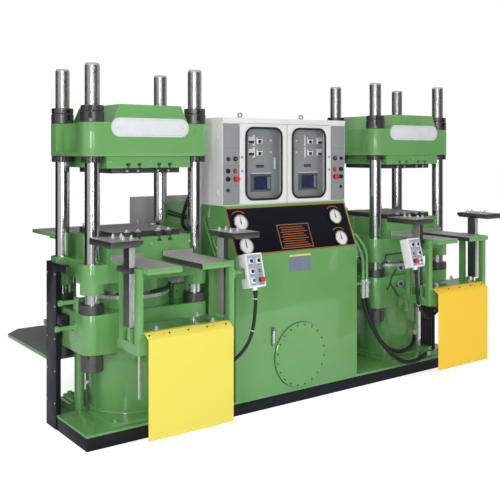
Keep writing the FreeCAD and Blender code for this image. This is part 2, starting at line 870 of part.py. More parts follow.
def make_front_frame(side, word):
    def at(offset):
        return shifted(side, offset)

    parts = []
    for hand in (-1, 1):
        low = at(f"{hand} * (frame_half - post_width / 2) - post_width / 2")
        cradle = at(f"{hand} * lift_centre - lift_width / 2 - cradle_clearance")
        tag = f"{word}_{hand + 1}"
        cradle_front = "-lift_front - cradle_clearance - cradle_wall"
        cradle_size = ("lift_width + 2 * cradle_clearance", "cradle_wall", "cradle_height")
        parts += [
            box("front_post_" + tag, (low, "-frame_front", "frame_bottom"),
                ("post_width", "post_depth", "table_top - post_headroom - frame_bottom")),
            box("rear_post_" + tag, (low, "-rear_post_front", "frame_bottom"),
                ("post_width", "post_depth", "guide_bottom - frame_bottom")),
            box("side_beam_" + tag, (low, "-frame_front", "frame_bottom"),
                ("post_width", "frame_front - rear_post_back + side_beam_tail", "beam_height")),
            box("arm_" + tag, (at(f"{hand} * arm_offset - post_width / 2"), "-rear_post_back - 1",
                               "frame_bottom"),
                ("post_width", "rear_post_back + 1 - block_y", "beam_height")),
            rod("lift_cylinder_" + tag,
                (at(f"{hand} * cylinder_offset"), "-block_y - cylinder_setback", "lift_cylinder_bottom"),
                "lift_cylinder_radius", "beam_top - lift_cylinder_bottom + 1"),
            box("cradle_base_" + tag, (cradle, cradle_front, "beam_top - 1"),
                ("lift_width + 2 * cradle_clearance", "lift_depth + 2 * cradle_clearance + 2 * cradle_wall",
                 "cradle_wall + 1")),
            box("cradle_front_" + tag, (cradle, cradle_front, "beam_top"), cradle_size),
            box("cradle_back_" + tag, (cradle, "-lift_back + cradle_clearance", "beam_top"), cradle_size),
            rod("stop_bolt_" + tag,
                (at(f"{hand} * lift_centre"), "-(lift_front + lift_back) / 2", "beam_top"),
                "stop_bolt_radius", "lift_bottom - seat_gap - beam_top"),
        ]
    span = "2 * post_inner"
    rail_height = "shelf_top - shelf_thickness - beam_top + 1"
    parts += [
        box(word + "_front_beam", (at("-post_inner"), "-frame_front", "frame_bottom"),
            (span, "post_depth", "beam_height")),
        box(word + "_cross_beam", (at("-post_inner"), "-rear_post_front", "frame_bottom"),
            (span, "post_depth", "beam_height")),
        box(word + "_cylinder_plate", (at("-arm_offset - post_width / 2"), "-block_y - cylinder_plate_depth",
                                       "beam_top"),
            ("2 * arm_offset + post_width", "cylinder_plate_depth", "cylinder_plate_thickness")),
        box(word + "_shelf_rail", (at("-post_inner"), "-frame_front", "beam_top - 1"),
            (span, "rail_thickness", rail_height)),
        box(word + "_shelf_back_rail",
            (at("-post_inner"), "-rear_post_back - rail_thickness", "beam_top - 1"),
            (span, "rail_thickness", rail_height)),
        box(word + "_shelf", (at("-post_inner"), "-frame_front", "shelf_top - shelf_thickness"),
            (span, "frame_front - rear_post_back", "shelf_thickness")),
    ]
    return fuse(word + "_front_frame", parts + make_pendant_arm(side, word))


def make_pendant_arm(side, word):
    """Flange on the front post's side and the tube that carries the pendant."""
    hand = -side
    length = f"({word}_pendant_reach + pendant_notch_width - frame_half)"
    tube_foot = "frame_half" if hand > 0 else f"-frame_half - {length}"
    flange_foot = "frame_half" if hand > 0 else "-frame_half - arm_flange"
    return [
        box(word + "_arm_flange", (shifted(side, flange_foot), "-frame_front",
                                   "pendant_arm_height - arm_flange_height / 2"),
            ("arm_flange", "arm_flange_width", "arm_flange_height")),
        rod(word + "_pendant_arm",
            (shifted(side, tube_foot), "-frame_front + post_depth + pendant_arm_setback",
             "pendant_arm_height"),
            "pendant_arm_radius", length, along="x"),
    ]


def make_table(side, word, hand):
    body = new_body(f"{word}_table_{hand + 1}", press_x(side))
    sketch = new_sketch(body, "YZ_Plane")
    polygon(sketch, [
        ("-table_front", "table_bottom"), ("-table_back", "table_bottom"),
        ("-table_back", "table_top + table_lip"),
        ("-table_back - lip_thickness", "table_top + table_lip"),
        ("-table_back - lip_thickness", "table_top"), ("-table_front", "table_top"),
    ])
    bind(sketch, "AttachmentOffset.Base.z", "table_inner" if hand > 0 else "-post_inner")
    feature(body, "Pad", sketch, "post_inner - table_inner")
    return body


def make_guard(side, word):
    """Folded sheet: apron, slope back to the shelf edge, seat on the shelf."""
    body = new_body(word + "_guard", press_x(side))
    sketch = new_sketch(body, "YZ_Plane")
    polygon(sketch, [
        ("-table_front", "guard_bottom"), ("-table_front + guard_thickness", "guard_bottom"),
        ("-table_front + guard_thickness", "guard_bend - 2"), ("-frame_front", "shelf_top"),
        ("-frame_front + guard_seat", "shelf_top"),
        ("-frame_front + guard_seat", "shelf_top + guard_thickness"),
        ("-frame_front - 1", "shelf_top + guard_thickness"), ("-table_front", "guard_bend + 1"),
    ])
    feature(body, "Pad", sketch, "2 * guard_half", middle=True)
    return body


def make_lift_guides(side, word):
    parts = []
    for hand in (-1, 1):
        tag = f"{word}_{hand + 1}"
        centre = f"{hand} * lift_centre"
        block = box("guide_block_" + tag,
                    (shifted(side, f"{centre} - lift_width / 2 - guide_wall"), "-lift_front - guide_wall",
                     "guide_bottom"),
                    ("lift_width + 2 * guide_wall", "lift_front + guide_wall - rear_post_back",
                     "guide_height"))
        hole = box("guide_hole_" + tag,
                   (shifted(side, f"{centre} - lift_width / 2 - seat_gap"), "-lift_front - seat_gap",
                    "guide_bottom - 1"),
                   ("lift_width + 2 * seat_gap", "lift_depth + 2 * seat_gap", "guide_height + 2"))
        parts.append(cut("lift_guide_" + tag, block, hole))
        parts.append(rod("guide_rod_" + tag, (shifted(side, f"{hand} * arm_offset"),
                                              "-rear_post_back - guide_rod_inset", "guide_rod_bottom"),
                         "guide_rod_radius", "frame_bottom - guide_rod_bottom"))
    return parts


def make_lift(side, hand, label):
    """Flat bar with a bevelled support pad on top."""
    bar = box(label + "_bar", (shifted(side, f"{hand} * lift_centre - lift_width / 2"), "-lift_front",
                               "lift_bottom"), ("lift_width", "lift_depth", "lift_height + 1"))
    body = new_body(label + "_pad", press_x(side))
    sketch = new_sketch(body, "XZ_Plane", "(lift_front + lift_back) / 2")
    inner = f"{hand} * lift_x"
    outer = f"{hand} * (lift_x + pad_length)"
    top = "lift_top + pad_thickness"
    polygon(sketch, [
        (f"{inner} + {hand} * pad_bevel / 3", "lift_top"), (f"{outer} - {hand} * pad_bevel", "lift_top"),
        (outer, "lift_top + pad_bevel"), (outer, top), (inner, top), (inner, "lift_top + pad_bevel / 3"),
    ])
    feature(body, "Pad", sketch, "pad_width", middle=True)
    return fuse(label, [bar, body])


# Oil tank with its sloping console


def on_console(x, up, out):
    """Place on the console's face: across from its middle, up the slope and out of it."""
    return (
        f"cabinet_centre + {x}",
        f"-plinth_front + ({up}) * sin(console_tilt) - ({out}) * cos(console_tilt)",
        f"console_base + ({up}) * cos(console_tilt) + ({out}) * sin(console_tilt)",
    )


def lean(item):
    """Turn a solid modelled flat so that its Z points out of the console's face."""
    return tilt(item, "90 deg - console_tilt")


def make_tank():
    body = new_body("tank_shell")
    sketch = new_sketch(body, "YZ_Plane", "tank_centre")
    polygon(sketch, [
        ("-plinth_front", "deck_top"), ("tank_back", "deck_top"), ("tank_back", "console_top"),
        ("-plinth_front + console_setback", "console_top"), ("-plinth_front", "console_base"),
    ])
    feature(body, "Pad", sketch, "tank_length", middle=True)
    void = new_body("tank_void")
    hollow = new_sketch(void, "YZ_Plane", "tank_centre")
    polygon(hollow, [
        ("-plinth_front + tank_wall", "deck_top + tank_wall"),
        ("tank_back - tank_wall", "deck_top + tank_wall"),
        ("tank_back - tank_wall", "console_top - tank_wall"),
        ("-plinth_front + console_setback + tank_wall", "console_top - tank_wall"),
        ("-plinth_front + tank_wall", "console_base - tank_wall"),
    ])
    feature(void, "Pad", hollow, "tank_length - 2 * tank_wall", middle=True)
    tank = cut("tank_hollowed", body, void)
    riser = box("cabinet_riser", ("tank_left", "-plinth_front + console_setback", "console_top"),
                ("tank_length", "plinth_front - console_setback + cabinet_back",
                 "cabinet_bottom - console_top"))
    shelf = box("oil_shelf", ("tank_left + tank_wall", "-plinth_front + tank_wall", "oil_shelf_height"),
                ("tank_length - 2 * tank_wall", "plinth_front + tank_back - 2 * tank_wall",
                 "oil_shelf_thickness"))
    passage = rod("suction_passage", (PUMP_X, "motor_y", "oil_shelf_height - 1"),
                  "suction_radius + seat_gap", "oil_shelf_thickness + 2")
    shell = fuse("tank_body", [tank, riser, cut("drilled_shelf", shelf, passage)])
    return group("oil_tank", [shell] + make_power_unit())


PUMP_X = "tank_centre + motor_x + bell_length + pump_length / 2"


def make_power_unit():
    """Motor on the shelf above the oil, with a bell housing and a pump that draws through a strainer."""
    end = "tank_centre + motor_x"
    motor = rod("motor", (f"{end} - motor_length", "motor_y", "motor_axis"), "motor_radius",
                "motor_length", along="x")
    feet = box("motor_feet", (f"{end} - (motor_length + motor_foot_length) / 2",
                              "motor_y - motor_foot_width / 2", "oil_shelf_top"),
               ("motor_foot_length", "motor_foot_width", "motor_shaft_height - motor_radius / 2"))
    bell = rod("bell_housing", (end, "motor_y", "motor_axis"), "bell_radius", "bell_length", along="x")
    pump = rod("pump_body", (f"{end} + bell_length", "motor_y", "motor_axis"), "pump_radius",
               "pump_length", along="x")
    foot = "deck_top + tank_wall + strainer_rise"
    suction = rod("suction_pipe", (PUMP_X, "motor_y", f"{foot} + 1"), "suction_radius",
                  f"motor_axis - ({foot}) - 1")
    strainer = rod("strainer", (PUMP_X, "motor_y", foot), "strainer_radius", "strainer_height")
    return [fuse("pump_motor", [motor, feet]), bell, fuse("oil_pump", [pump, suction, strainer])]


def make_tank_cover():
    parts = [rod("cover_disc", ("tank_centre", "-plinth_front - cover_thickness", "cover_height"),
                 "cover_radius", "cover_thickness", along="y")]
    for k in range(SIZES["cover_bolts"]):
        angle = f"360 * {k} / cover_bolts"
        head = document.addObject("Part::Prism", f"cover_bolt_{k}")
        head.Polygon = 6
        head.Placement = Placement(Vector(), Rotation(Vector(1, 0, 0), -90))
        bind(head, "Circumradius", "bolt_head_radius")
        bind(head, "Height", "bolt_head_height")
        parts.append(place(head, f"tank_centre + cover_bolt_ring * cos({angle})",
                           "-plinth_front - cover_thickness - bolt_head_height",
                           f"cover_height + cover_bolt_ring * sin({angle})"))
    return group("tank_cover", parts)


def make_console_panel():
    return lean(box("console_panel", on_console("-tank_length / 2 + panel_margin", "panel_margin", "0"),
                    ("tank_length - 2 * panel_margin", "console_slope - 2 * panel_margin",
                     "panel_thickness")))


def gauge_spots():
    return [(f"{word}_{level}", f"gauge_shift + {side} * gauge_spread", f"gauge_{level}")
            for side, word in SIDES for level in ("upper", "lower")]


def make_gauges():
    parts = []
    for name, x, up in gauge_spots():
        case = lean(rod("gauge_case_" + name, on_console(x, up, "panel_thickness"), "gauge_radius",
                        "gauge_depth"))
        dish = lean(rod("gauge_dish_" + name, on_console(x, up, "gauge_face"), "gauge_radius - gauge_rim",
                        "gauge_dish + 2"))
        hub = lean(rod("gauge_hub_" + name, on_console(x, up, "gauge_face - 1"), "hub_radius",
                       "hub_height + 1"))
        parts.append(fuse("gauge_" + name, [cut("gauge_shell_" + name, case, dish), hub]))
    parts.append(box("level_gauge", ("tank_centre + level_gauge_offset - level_gauge_width / 2",
                                     "-plinth_front - level_gauge_depth", "level_gauge_bottom"),
                     ("level_gauge_width", "level_gauge_depth", "level_gauge_height")))
    return group("gauges", parts)


def make_needles():
    """Tapered pointers above the gauge hubs."""
    nodes = []
    for name, x, up in gauge_spots():
        body = document.addObject("PartDesign::Body", name + "_gauge_needle")
        sketch = new_sketch(body, "XY_Plane")
        reach = "gauge_radius - gauge_rim - needle_rim_gap"
        polygon(sketch, [("-needle_half_width", "-needle_tail"), ("needle_half_width", "-needle_tail"),
                         ("needle_half_tip", reach), ("-needle_half_tip", reach)])
        feature(body, "Pad", sketch, "needle_thickness")
        place(body, *on_console(x, up, "gauge_face + hub_height + seat_gap"))
        nodes.append(lean(body))
    return nodes


# Control cabinet


def make_cabinet():
    shell = box("cabinet_block", ("cabinet_left", "-cabinet_front", "cabinet_bottom"),
                ("cabinet_length", "cabinet_front + cabinet_back", "cabinet_top - cabinet_bottom"))
    tools = [
        box("door_recess", ("cabinet_left + strip_width", "-cabinet_front", "door_bottom - door_gap / 2"),
            ("cabinet_length - 2 * strip_width", "door_thickness", "door_height + door_gap")),
        box("cabinet_hollow", ("cabinet_left + cabinet_wall", "-instrument_plane + instrument_wall",
                               "cabinet_bottom + cabinet_wall"),
            ("cabinet_length - 2 * cabinet_wall",
             "instrument_plane + cabinet_back - instrument_wall - cabinet_wall",
             "cabinet_top - cabinet_bottom - 2 * cabinet_wall")),
    ]
    for side, word in SIDES:
        tools.append(box(word + "_instrument_recess",
                         (f"cabinet_centre + {side} * window_x - recess_half", "-door_plane - 1",
                          "door_bottom + recess_margin"),
                         ("2 * recess_half", "door_plane - instrument_plane + 1",
                          "door_height - 2 * recess_margin")))
    body = cut("cabinet_shell", shell, group("cabinet_tools", tools))
    canopy = box("cabinet_canopy", ("cabinet_left", "-cabinet_front - canopy_reach", "canopy_bottom"),
                 ("cabinet_length", "canopy_reach", "cabinet_top - canopy_bottom"))
    parts = [fuse("cabinet_body", [body, canopy])]
    for side, word in SIDES:
        spot = (f"cabinet_centre + {side} * eye_spread", "-eye_setback - eye_thickness / 2",
                "cabinet_top + eye_radius + eye_rise")
        outside = rod(word + "_eye_outside", spot, "eye_radius", "eye_thickness", along="y")
        hole = rod(word + "_eye_hole", spot, "eye_radius - eye_thickness", "eye_thickness", along="y")
        foot = rod(word + "_eye_foot",
                   (f"cabinet_centre + {side} * eye_spread", "-eye_setback", "cabinet_top"),
                   "eye_foot_radius", "eye_foot_height")
        parts.append(fuse(word + "_lifting_eye", [cut(word + "_eye_ring", outside, hole), foot]))
    return group("control_cabinet", parts)


def make_door(side, word):
    """Pan-shaped door with a rounded window, two hinge knuckles and two latches."""
    body = new_body(word + "_door_pan", "cabinet_centre")
    outer = f"{side} * (cabinet_length / 2 - strip_width - door_gap / 2)"
    inner = f"{side} * door_gap"
    low, high = (outer, inner) if side < 0 else (inner, outer)
    skin = new_sketch(body, "XZ_Plane", "cabinet_front")
    rectangle(skin, low, "door_bottom", high, "door_top")
    feature(body, "Pad", skin, "door_thickness - seat_gap", reverse=True)
    back = new_sketch(body, "XZ_Plane", "door_plane + seat_gap")
    rectangle(back, f"{low} + door_rim", "door_bottom + door_rim", f"{high} - door_rim",
              "door_top - door_rim")
    feature(body, "Pocket", back, "door_thickness - seat_gap - door_skin", reverse=True)
    opening = new_sketch(body, "XZ_Plane", "cabinet_front")
    window_outline(opening, side, "0")
    cutout = feature(body, "Pocket", opening, "door_thickness")
    document.recompute()
    round_edges(body, cutout, window_corners(cutout, side), "window_corner")
    x = f"cabinet_centre + {side} * hinge_offset"
    parts = [body]
    for k, height in enumerate(("door_bottom + hinge_inset", "door_top - hinge_inset - hinge_length")):
        parts.append(rod(f"{word}_hinge_{k}", (x, "-hinge_plane", height), "hinge_radius", "hinge_length"))
    for k, height in enumerate(("door_bottom + latch_inset", "door_top - latch_inset")):
        parts.append(rod(f"{word}_latch_{k}",
                         (f"cabinet_centre + {side} * (cabinet_length / 2 - strip_width - latch_setback)",
                          "-cabinet_front - latch_proud", height),
                         "latch_radius", "latch_proud + door_skin / 2", along="y"))
    return fuse(word + "_cabinet_door", parts)


def window_outline(sketch, side, shrink):
    x = f"{side} * window_x"
    half = f"window_width / 2 - {shrink}"
    tall = f"window_height / 2 - {shrink}"
    rectangle(sketch, f"{x} - ({half})", f"window_z - ({tall})", f"{x} + ({half})", f"window_z + ({tall})")


def window_corners(item, side):
    """Names of the four short edges along Y at the corners of the window."""
    half = SIZES["window_width"] / 2
    tall = SIZES["window_height"] / 2
    window_x = (SIZES["cabinet_length"] / 2 - SIZES["strip_width"]) / 2
    names = []
    for number, edge in enumerate(item.Shape.Edges, start=1):
        limits = edge.BoundBox
        along = limits.YLength > 1 and limits.XLength + limits.ZLength < 0.001
        across = abs(abs(limits.XMin - side * window_x) - half) < 1
        middle = SIZES["door_bottom"] + SIZES["door_height"] / 2
        if along and across and abs(abs(limits.ZMin - middle) - tall) < 1:
            names.append(f"Edge{number}")
    return names


def make_window(side, word):
    body = new_body(word + "_door_window", "cabinet_centre")
    sketch = new_sketch(body, "XZ_Plane", "cabinet_front + window_proud")
    window_outline(sketch, side, "seat_gap / 2")
    pane = feature(body, "Pad", sketch, "window_proud + door_skin", reverse=True)
    document.recompute()
    round_edges(body, pane, window_corners(pane, side), "window_corner - seat_gap / 2")
    return body


def make_instruments():
    """Plates behind the doors with their meters, and the switch strips at both ends."""
    parts = []
    face = "-instrument_plane - instrument_thickness"
    for side, word in SIDES:
        centre = f"cabinet_centre + {side} * window_x"
        parts.append(box(word + "_instrument_plate",
                         (f"{centre} - recess_half + seat_gap", face,
                          "door_bottom + recess_margin + seat_gap"),
                         ("2 * (recess_half - seat_gap)", "instrument_thickness",
                          "door_height - 2 * (recess_margin + seat_gap)")))
        for level in ("upper", "lower"):
            for kind in ("meter", "controller"):
                parts.append(box(f"{word}_{level}_{kind}",
                                 (f"{centre} + {word}_{kind}_x - {kind}_size / 2", f"{face} - {kind}_depth",
                                  f"window_z + {level}_meter_z - {kind}_size / 2"),
                                 (f"{kind}_size", f"{kind}_depth", f"{kind}_size")))
            for kind in ("amber_lamp", "white_lamp"):
                parts.append(rod(f"{word}_{level}_{kind}",
                                 (f"{centre} + {word}_{kind}_x", f"{face} - lamp_depth",
                                  f"window_z + {level}_meter_z"), "lamp_radius", "lamp_depth", along="y"))
        parts.append(box(word + "_counter", (f"{centre} + {word}_counter_x - counter_width / 2",
                                             f"{face} - counter_depth", "window_z + counter_z"),
                         ("counter_width", "counter_depth", "counter_height")))
        parts.append(box(word + "_touch_screen", (f"{centre} + {word}_screen_x - screen_width / 2",
                                                  f"{face} - screen_depth", "window_z + screen_z"),
                         ("screen_width", "screen_depth", "screen_height")))
        middle = f"cabinet_centre + {side} * (cabinet_length - strip_width) / 2"
        parts.append(box(word + "_switch_strip",
                         (f"{middle} - strip_width / 2 + strip_margin", "-cabinet_front - strip_thickness",
                          "cabinet_bottom + strip_margin"),
                         ("strip_width - 2 * strip_margin", "strip_thickness",
                          "canopy_bottom - cabinet_bottom - 2 * strip_margin")))
        for name, across, height, radius in (
            ("key_switch", -1, "selector_height", "bezel_radius"),
            ("start_cap", 1, "start_height", "bezel_radius"),
            ("stop_cap", 1, "stop_height", "bezel_radius"),
            ("buzzer", 1, "buzzer_height", "bezel_radius"),
            ("alarm_lamp", -1, "start_height", "bezel_radius - 3"),
        ):
            parts.append(rod(f"{word}_{name}",
                             (f"{middle} + {side * across} * switch_offset",
                              "-cabinet_front - strip_thickness - cap_depth", f"cabinet_bottom + {height}"),
                             radius, "cap_depth", along="y"))
        spot = (f"{middle} - {side} * switch_offset",
                "-cabinet_front - strip_thickness - collar_depth", "cabinet_bottom + stop_height")
        outside = rod(word + "_stop_collar_outside", spot, "stop_stem_radius + collar_wall", "collar_depth",
                      along="y")
        bore = rod(word + "_stop_collar_bore", spot, "stop_stem_radius + seat_gap", "collar_depth",
                   along="y")
        parts.append(cut(word + "_stop_collar", outside, bore))
    return group("instrument_panels", parts)


def turned_knob(label, spot, turn, share):
    """Selector knob with its grip bar. Its own Z points out of the panel."""
    disc = rod(label + "_disc", ("0", "0", "0"), f"knob_radius * {share}", f"knob_depth * {share}")
    grip = box(label + "_grip", (f"-knob_radius * {share} / 4", f"-knob_radius * {share}",
                                 f"knob_depth * {share}"),
               (f"knob_radius * {share} / 2", f"2 * knob_radius * {share}", f"knob_grip * {share}"))
    return tilt(place(fuse(label, [disc, grip]), *spot), turn)


def mushroom(label, spot, turn, share):
    """Emergency stop: a stem and a wide head with a bevelled rim."""
    stem = rod(label + "_stem", ("0", "0", "0"), f"stop_stem_radius * {share}",
               f"stop_stem_length * {share}")
    head = rod(label + "_head", ("0", "0", f"stop_stem_length * {share}"), f"stop_head_radius * {share}",
               f"stop_head_depth * {share}")
    crown = cone(label + "_crown", ("0", "0", f"(stop_stem_length + stop_head_depth) * {share}"),
                 f"stop_head_radius * {share}", f"stop_head_radius * {share} * 2 / 3",
                 f"stop_head_depth * {share} / 2")
    return tilt(place(fuse(label, [stem, head, crown]), *spot), turn)


def make_cabinet_controls():
    nodes = []
    for side, word in SIDES:
        middle = f"cabinet_centre + {side} * (cabinet_length - strip_width) / 2"
        nodes.append(turned_knob(
            word + "_cabinet_selector",
            (f"{middle} + {side} * switch_offset", "-cabinet_front - strip_thickness - seat_gap",
             "cabinet_bottom + selector_height"), "90", "1"))
        nodes.append(mushroom(
            word + "_cabinet_stop",
            (f"{middle} - {side} * switch_offset", "-cabinet_front - strip_thickness - button_travel - 1",
             "cabinet_bottom + stop_height"), "90", "1"))
    return nodes


# Pendant boxes on their arms


def on_pendant(side, word, x, up, out):
    """Place on a pendant's face: across from its middle, up the slope and out of it."""
    return (
        f"{side} * (press_pitch / 2 - {word}_pendant_reach - pendant_width / 2) + {x}",
        f"-pendant_front + ({up}) * sin(pendant_tilt) - ({out}) * cos(pendant_tilt)",
        f"pendant_foot + ({up}) * cos(pendant_tilt) + ({out}) * sin(pendant_tilt)",
    )


def make_pendant(side, word):
    def solid(name, kind, spot, *size, turn="90 - pendant_tilt"):
        return tilt(kind(f"{word}_pendant_{name}", on_pendant(side, word, *spot), *size), turn)

    case = solid("case", box, ("-pendant_width / 2", "0", "-pendant_depth"),
                 ("pendant_width", "pendant_height", "pendant_depth"))
    corner = "-pendant_width / 2 - 1" if side < 0 else "pendant_width / 2 - pendant_notch_width"
    notch = solid("notch", box, (corner, "pendant_notch_foot", "-pendant_depth - 1"),
                  ("pendant_notch_width + 1", "pendant_notch_height", "pendant_notch_depth"))
    parts = [cut(word + "_pendant_box", case, notch)]
    parts.append(solid("face", box, ("-pendant_width / 2 + face_margin", "face_margin", "0"),
                       ("pendant_width - 2 * face_margin", "pendant_height - 2 * face_margin",
                        "face_thickness")))
    parts.append(solid("lamp", rod, (f"{-side} * pendant_switch_offset", "pendant_middle", "face_thickness"),
                       "bezel_radius * 2 / 3", "cap_depth * 2 / 3"))
    parts.append(solid("gland", rod, ("0", "-gland_length", "-gland_setback"), "gland_radius",
                       "gland_length", turn="-pendant_tilt"))
    for name, across, radius in (("stop", -side, "stop_stem_radius * pendant_share"),
                                 ("start", side, "start_radius")):
        spot = (f"{across} * pendant_switch_offset", "pendant_lower", "face_thickness")
        outside = solid(name + "_collar_outside", rod, spot, f"{radius} + collar_wall", "collar_depth")
        bore = solid(name + "_collar_bore", rod, spot, f"{radius} + seat_gap", "collar_depth")
        parts.append(cut(f"{word}_pendant_{name}_collar", outside, bore))
    return parts


def make_pendant_controls():
    nodes = []
    turn = "90 - pendant_tilt"
    for side, word in SIDES:
        for name, across, height in (("outer", -side, "pendant_upper"), ("inner", side, "pendant_upper"),
                                     ("lower", side, "pendant_middle")):
            spot = on_pendant(side, word, f"{across} * pendant_switch_offset", height,
                              "face_thickness + seat_gap")
            nodes.append(turned_knob(f"{word}_pendant_{name}_selector", spot, turn, "pendant_share"))
        raised = "face_thickness + button_travel + 1"
        stop = on_pendant(side, word, f"{-side} * pendant_switch_offset", "pendant_lower", raised)
        nodes.append(mushroom(f"{word}_pendant_stop", stop, turn, "pendant_share"))
        cap = rod(f"{word}_pendant_start_button",
                  on_pendant(side, word, f"{side} * pendant_switch_offset", "pendant_lower", raised),
                  "start_radius", "start_depth")
        nodes.append(tilt(cap, turn))
    return nodes


# Rear tables, platforms and the cover behind the tank


def make_rear_table(side, word):
    parts = [box(word + "_rear_table", (shifted(side, "-rear_table_half"), "block_y + rear_clearance",
                                        "rear_table_top - rear_table_thickness"),
                 ("2 * rear_table_half", "rear_table_back - block_y - rear_clearance",
                  "rear_table_thickness"))]
    for hand in (-1, 1):
        tag = f"{word}_{hand + 1}"
        x = shifted(side, f"{hand} * stay_offset - bar_size / 2")
        parts += [
            box("table_stay_" + tag, (x, "block_y + stay_pad_depth", "bed_bottom + stay_inset"),
                ("bar_size", "bar_size",
                 "rear_table_top - rear_table_thickness - bed_bottom - stay_inset")),
            box("table_rail_" + tag, (x, "block_y + rear_clearance",
                                      "rear_table_top - rear_table_thickness - bar_size"),
                ("bar_size", "rear_table_back - block_y - rear_clearance - bar_size", "bar_size")),
            box("stay_pad_" + tag, (x, "block_y", "bed_bottom + stay_inset"),
                ("bar_size", "stay_pad_depth", "stay_pad_height")),
        ]
    return fuse(word + "_rear_table_frame", parts)


def make_platform(side, word):
    body = new_body(word + "_platform_plate", press_x(side))
    sketch = new_sketch(body, "XY_Plane", "platform_top - platform_thickness")
    outer = f"{side} * platform_half"
    inner = f"{-side} * platform_half"
    polygon(sketch, [
        (outer, "platform_front"), (inner, "platform_front"), (inner, "platform_back"),
        (f"{outer} - {side} * platform_corner", "platform_back"), (outer, "platform_back - platform_corner"),
    ])
    feature(body, "Pad", sketch, "platform_thickness")
    bottom = "platform_top - platform_thickness"
    bay = rod(word + "_platform_bay", (press_x(side), "0", bottom), "barrel_radius + rear_clearance",
              "platform_thickness")
    parts = [cut(word + "_platform_deck", body, bay)]
    for hand in (-1, 1):
        tag = f"{word}_{hand + 1}"
        x = shifted(side, f"{hand} * leg_offset - bar_size / 2")
        parts += [
            box("platform_leg_" + tag, (x, "foot_width / 2 - bar_size", "barrel_bottom"),
                ("bar_size", "bar_size", f"{bottom} - barrel_bottom")),
            box("platform_rail_" + tag, (x, "foot_width / 2 - bar_size", f"{bottom} - bar_size"),
                ("bar_size", "platform_back - foot_width / 2", "bar_size")),
        ]
    return fuse(word + "_platform", parts)


def make_unit_cover():
    """Folded sheet on the tank's back with a lip along the top and both ends."""
    length = "unit_cover_right - unit_cover_left"
    height = "unit_cover_top - unit_cover_bottom"
    corner = ("unit_cover_left", "tank_back", "unit_cover_bottom")
    return fuse("rear_unit_cover", [
        box("cover_panel", corner, (length, "sheet_thickness", height)),
        box("cover_lip", ("unit_cover_left", "tank_back", "unit_cover_top - sheet_thickness"),
            (length, "unit_cover_lip", "sheet_thickness")),
        box("cover_left_lip", corner, ("sheet_thickness", "unit_cover_lip", height)),
        box("cover_right_lip", ("unit_cover_right - sheet_thickness", "tank_back", "unit_cover_bottom"),
            ("sheet_thickness", "unit_cover_lip", height)),
    ])


# Fittings at the left end


def make_duct():
    front = "duct_back - duct_width"
    arm_front = f"{front} - duct_arm_reach"
    outside = "-duct_plane - duct_sheet"
    flange = ("duct_depth", "duct_sheet", "duct_height - deck_top - seat_gap")
    parts = [
        box("duct_web", (outside, front, "0"), ("duct_sheet", "duct_width", "duct_height")),
        box("duct_front_flange", ("-duct_plane", front, "deck_top + seat_gap"), flange),
        box("duct_back_flange", ("-duct_plane", "duct_back - duct_sheet", "deck_top + seat_gap"), flange),
        box("duct_arm", (outside, arm_front, "duct_height - duct_arm_height"),
            ("duct_sheet", "duct_arm_reach + duct_sheet", "duct_arm_height")),
        box("duct_arm_lip", (outside, arm_front, "duct_height - duct_sheet"),
            ("duct_depth + duct_sheet", "duct_arm_reach + duct_sheet", "duct_sheet")),
    ]
    switch = box("limit_switch", (f"{press_x(-1)} - block_x - switch_box_depth", "-switch_box_front",
                                  "bed_top - switch_box_drop"),
                 ("switch_box_depth", "switch_box_width", "switch_box_height"))
    return group("cable_duct", [fuse("duct_profile", parts), switch])


def make_stubs():
    """Short capped pipes on the left bed's side and the tube that props the bed."""
    face = f"{press_x(-1)} - block_x"
    parts = []
    for name, y, z, length in (("front", "-front_stub_y", "front_stub_z", "front_stub_length"),
                               ("rear", "rear_stub_y", "rear_stub_z", "rear_stub_length")):
        stub = rod(name + "_stub", (f"{face} - {length}", y, z), "stub_radius", length, along="x")
        pad = box(name + "_stub_pad",
                  (f"{face} - stub_pad_thickness", f"{y} - stub_pad / 2", f"{z} - stub_pad / 2"),
                  ("stub_pad_thickness", "stub_pad", "stub_pad"))
        cap = rod(name + "_stub_cap", (f"{face} - {length}", y, z), "stub_radius + stub_cap_wall",
                  "stub_cap", along="x")
        parts.append(fuse(name + "_capped_stub", [stub, pad, cap]))
    raised = [
        box("raised_stub_plate", (face, "-raised_stub_y - stub_pad / 2", "bed_top"),
            ("raised_plate_thickness", "stub_pad", "raised_plate_height")),
        rod("raised_stub", (f"{face} - raised_stub_length", "-raised_stub_y", "raised_stub_z"),
            "stub_radius", "raised_stub_length + raised_plate_thickness / 2", along="x"),
        rod("raised_stub_cap", (f"{face} - raised_stub_length", "-raised_stub_y", "raised_stub_z"),
            "stub_radius + stub_cap_wall", "stub_cap", along="x"),
    ]
    parts.append(fuse("raised_capped_stub", raised))
    prop = rod("prop_tube", (f"{press_x(-1)} - prop_offset", "prop_y", "deck_top"), "prop_radius",
               "bed_bottom - deck_top")
    notch = box("prop_notch", (f"{press_x(-1)} - foot_length / 2", "-foot_width / 2", "deck_top"),
                ("foot_length", "foot_width", "foot_thickness"))
    return parts + [cut("bed_prop", prop, notch)]


# Pipes, hoses and cables


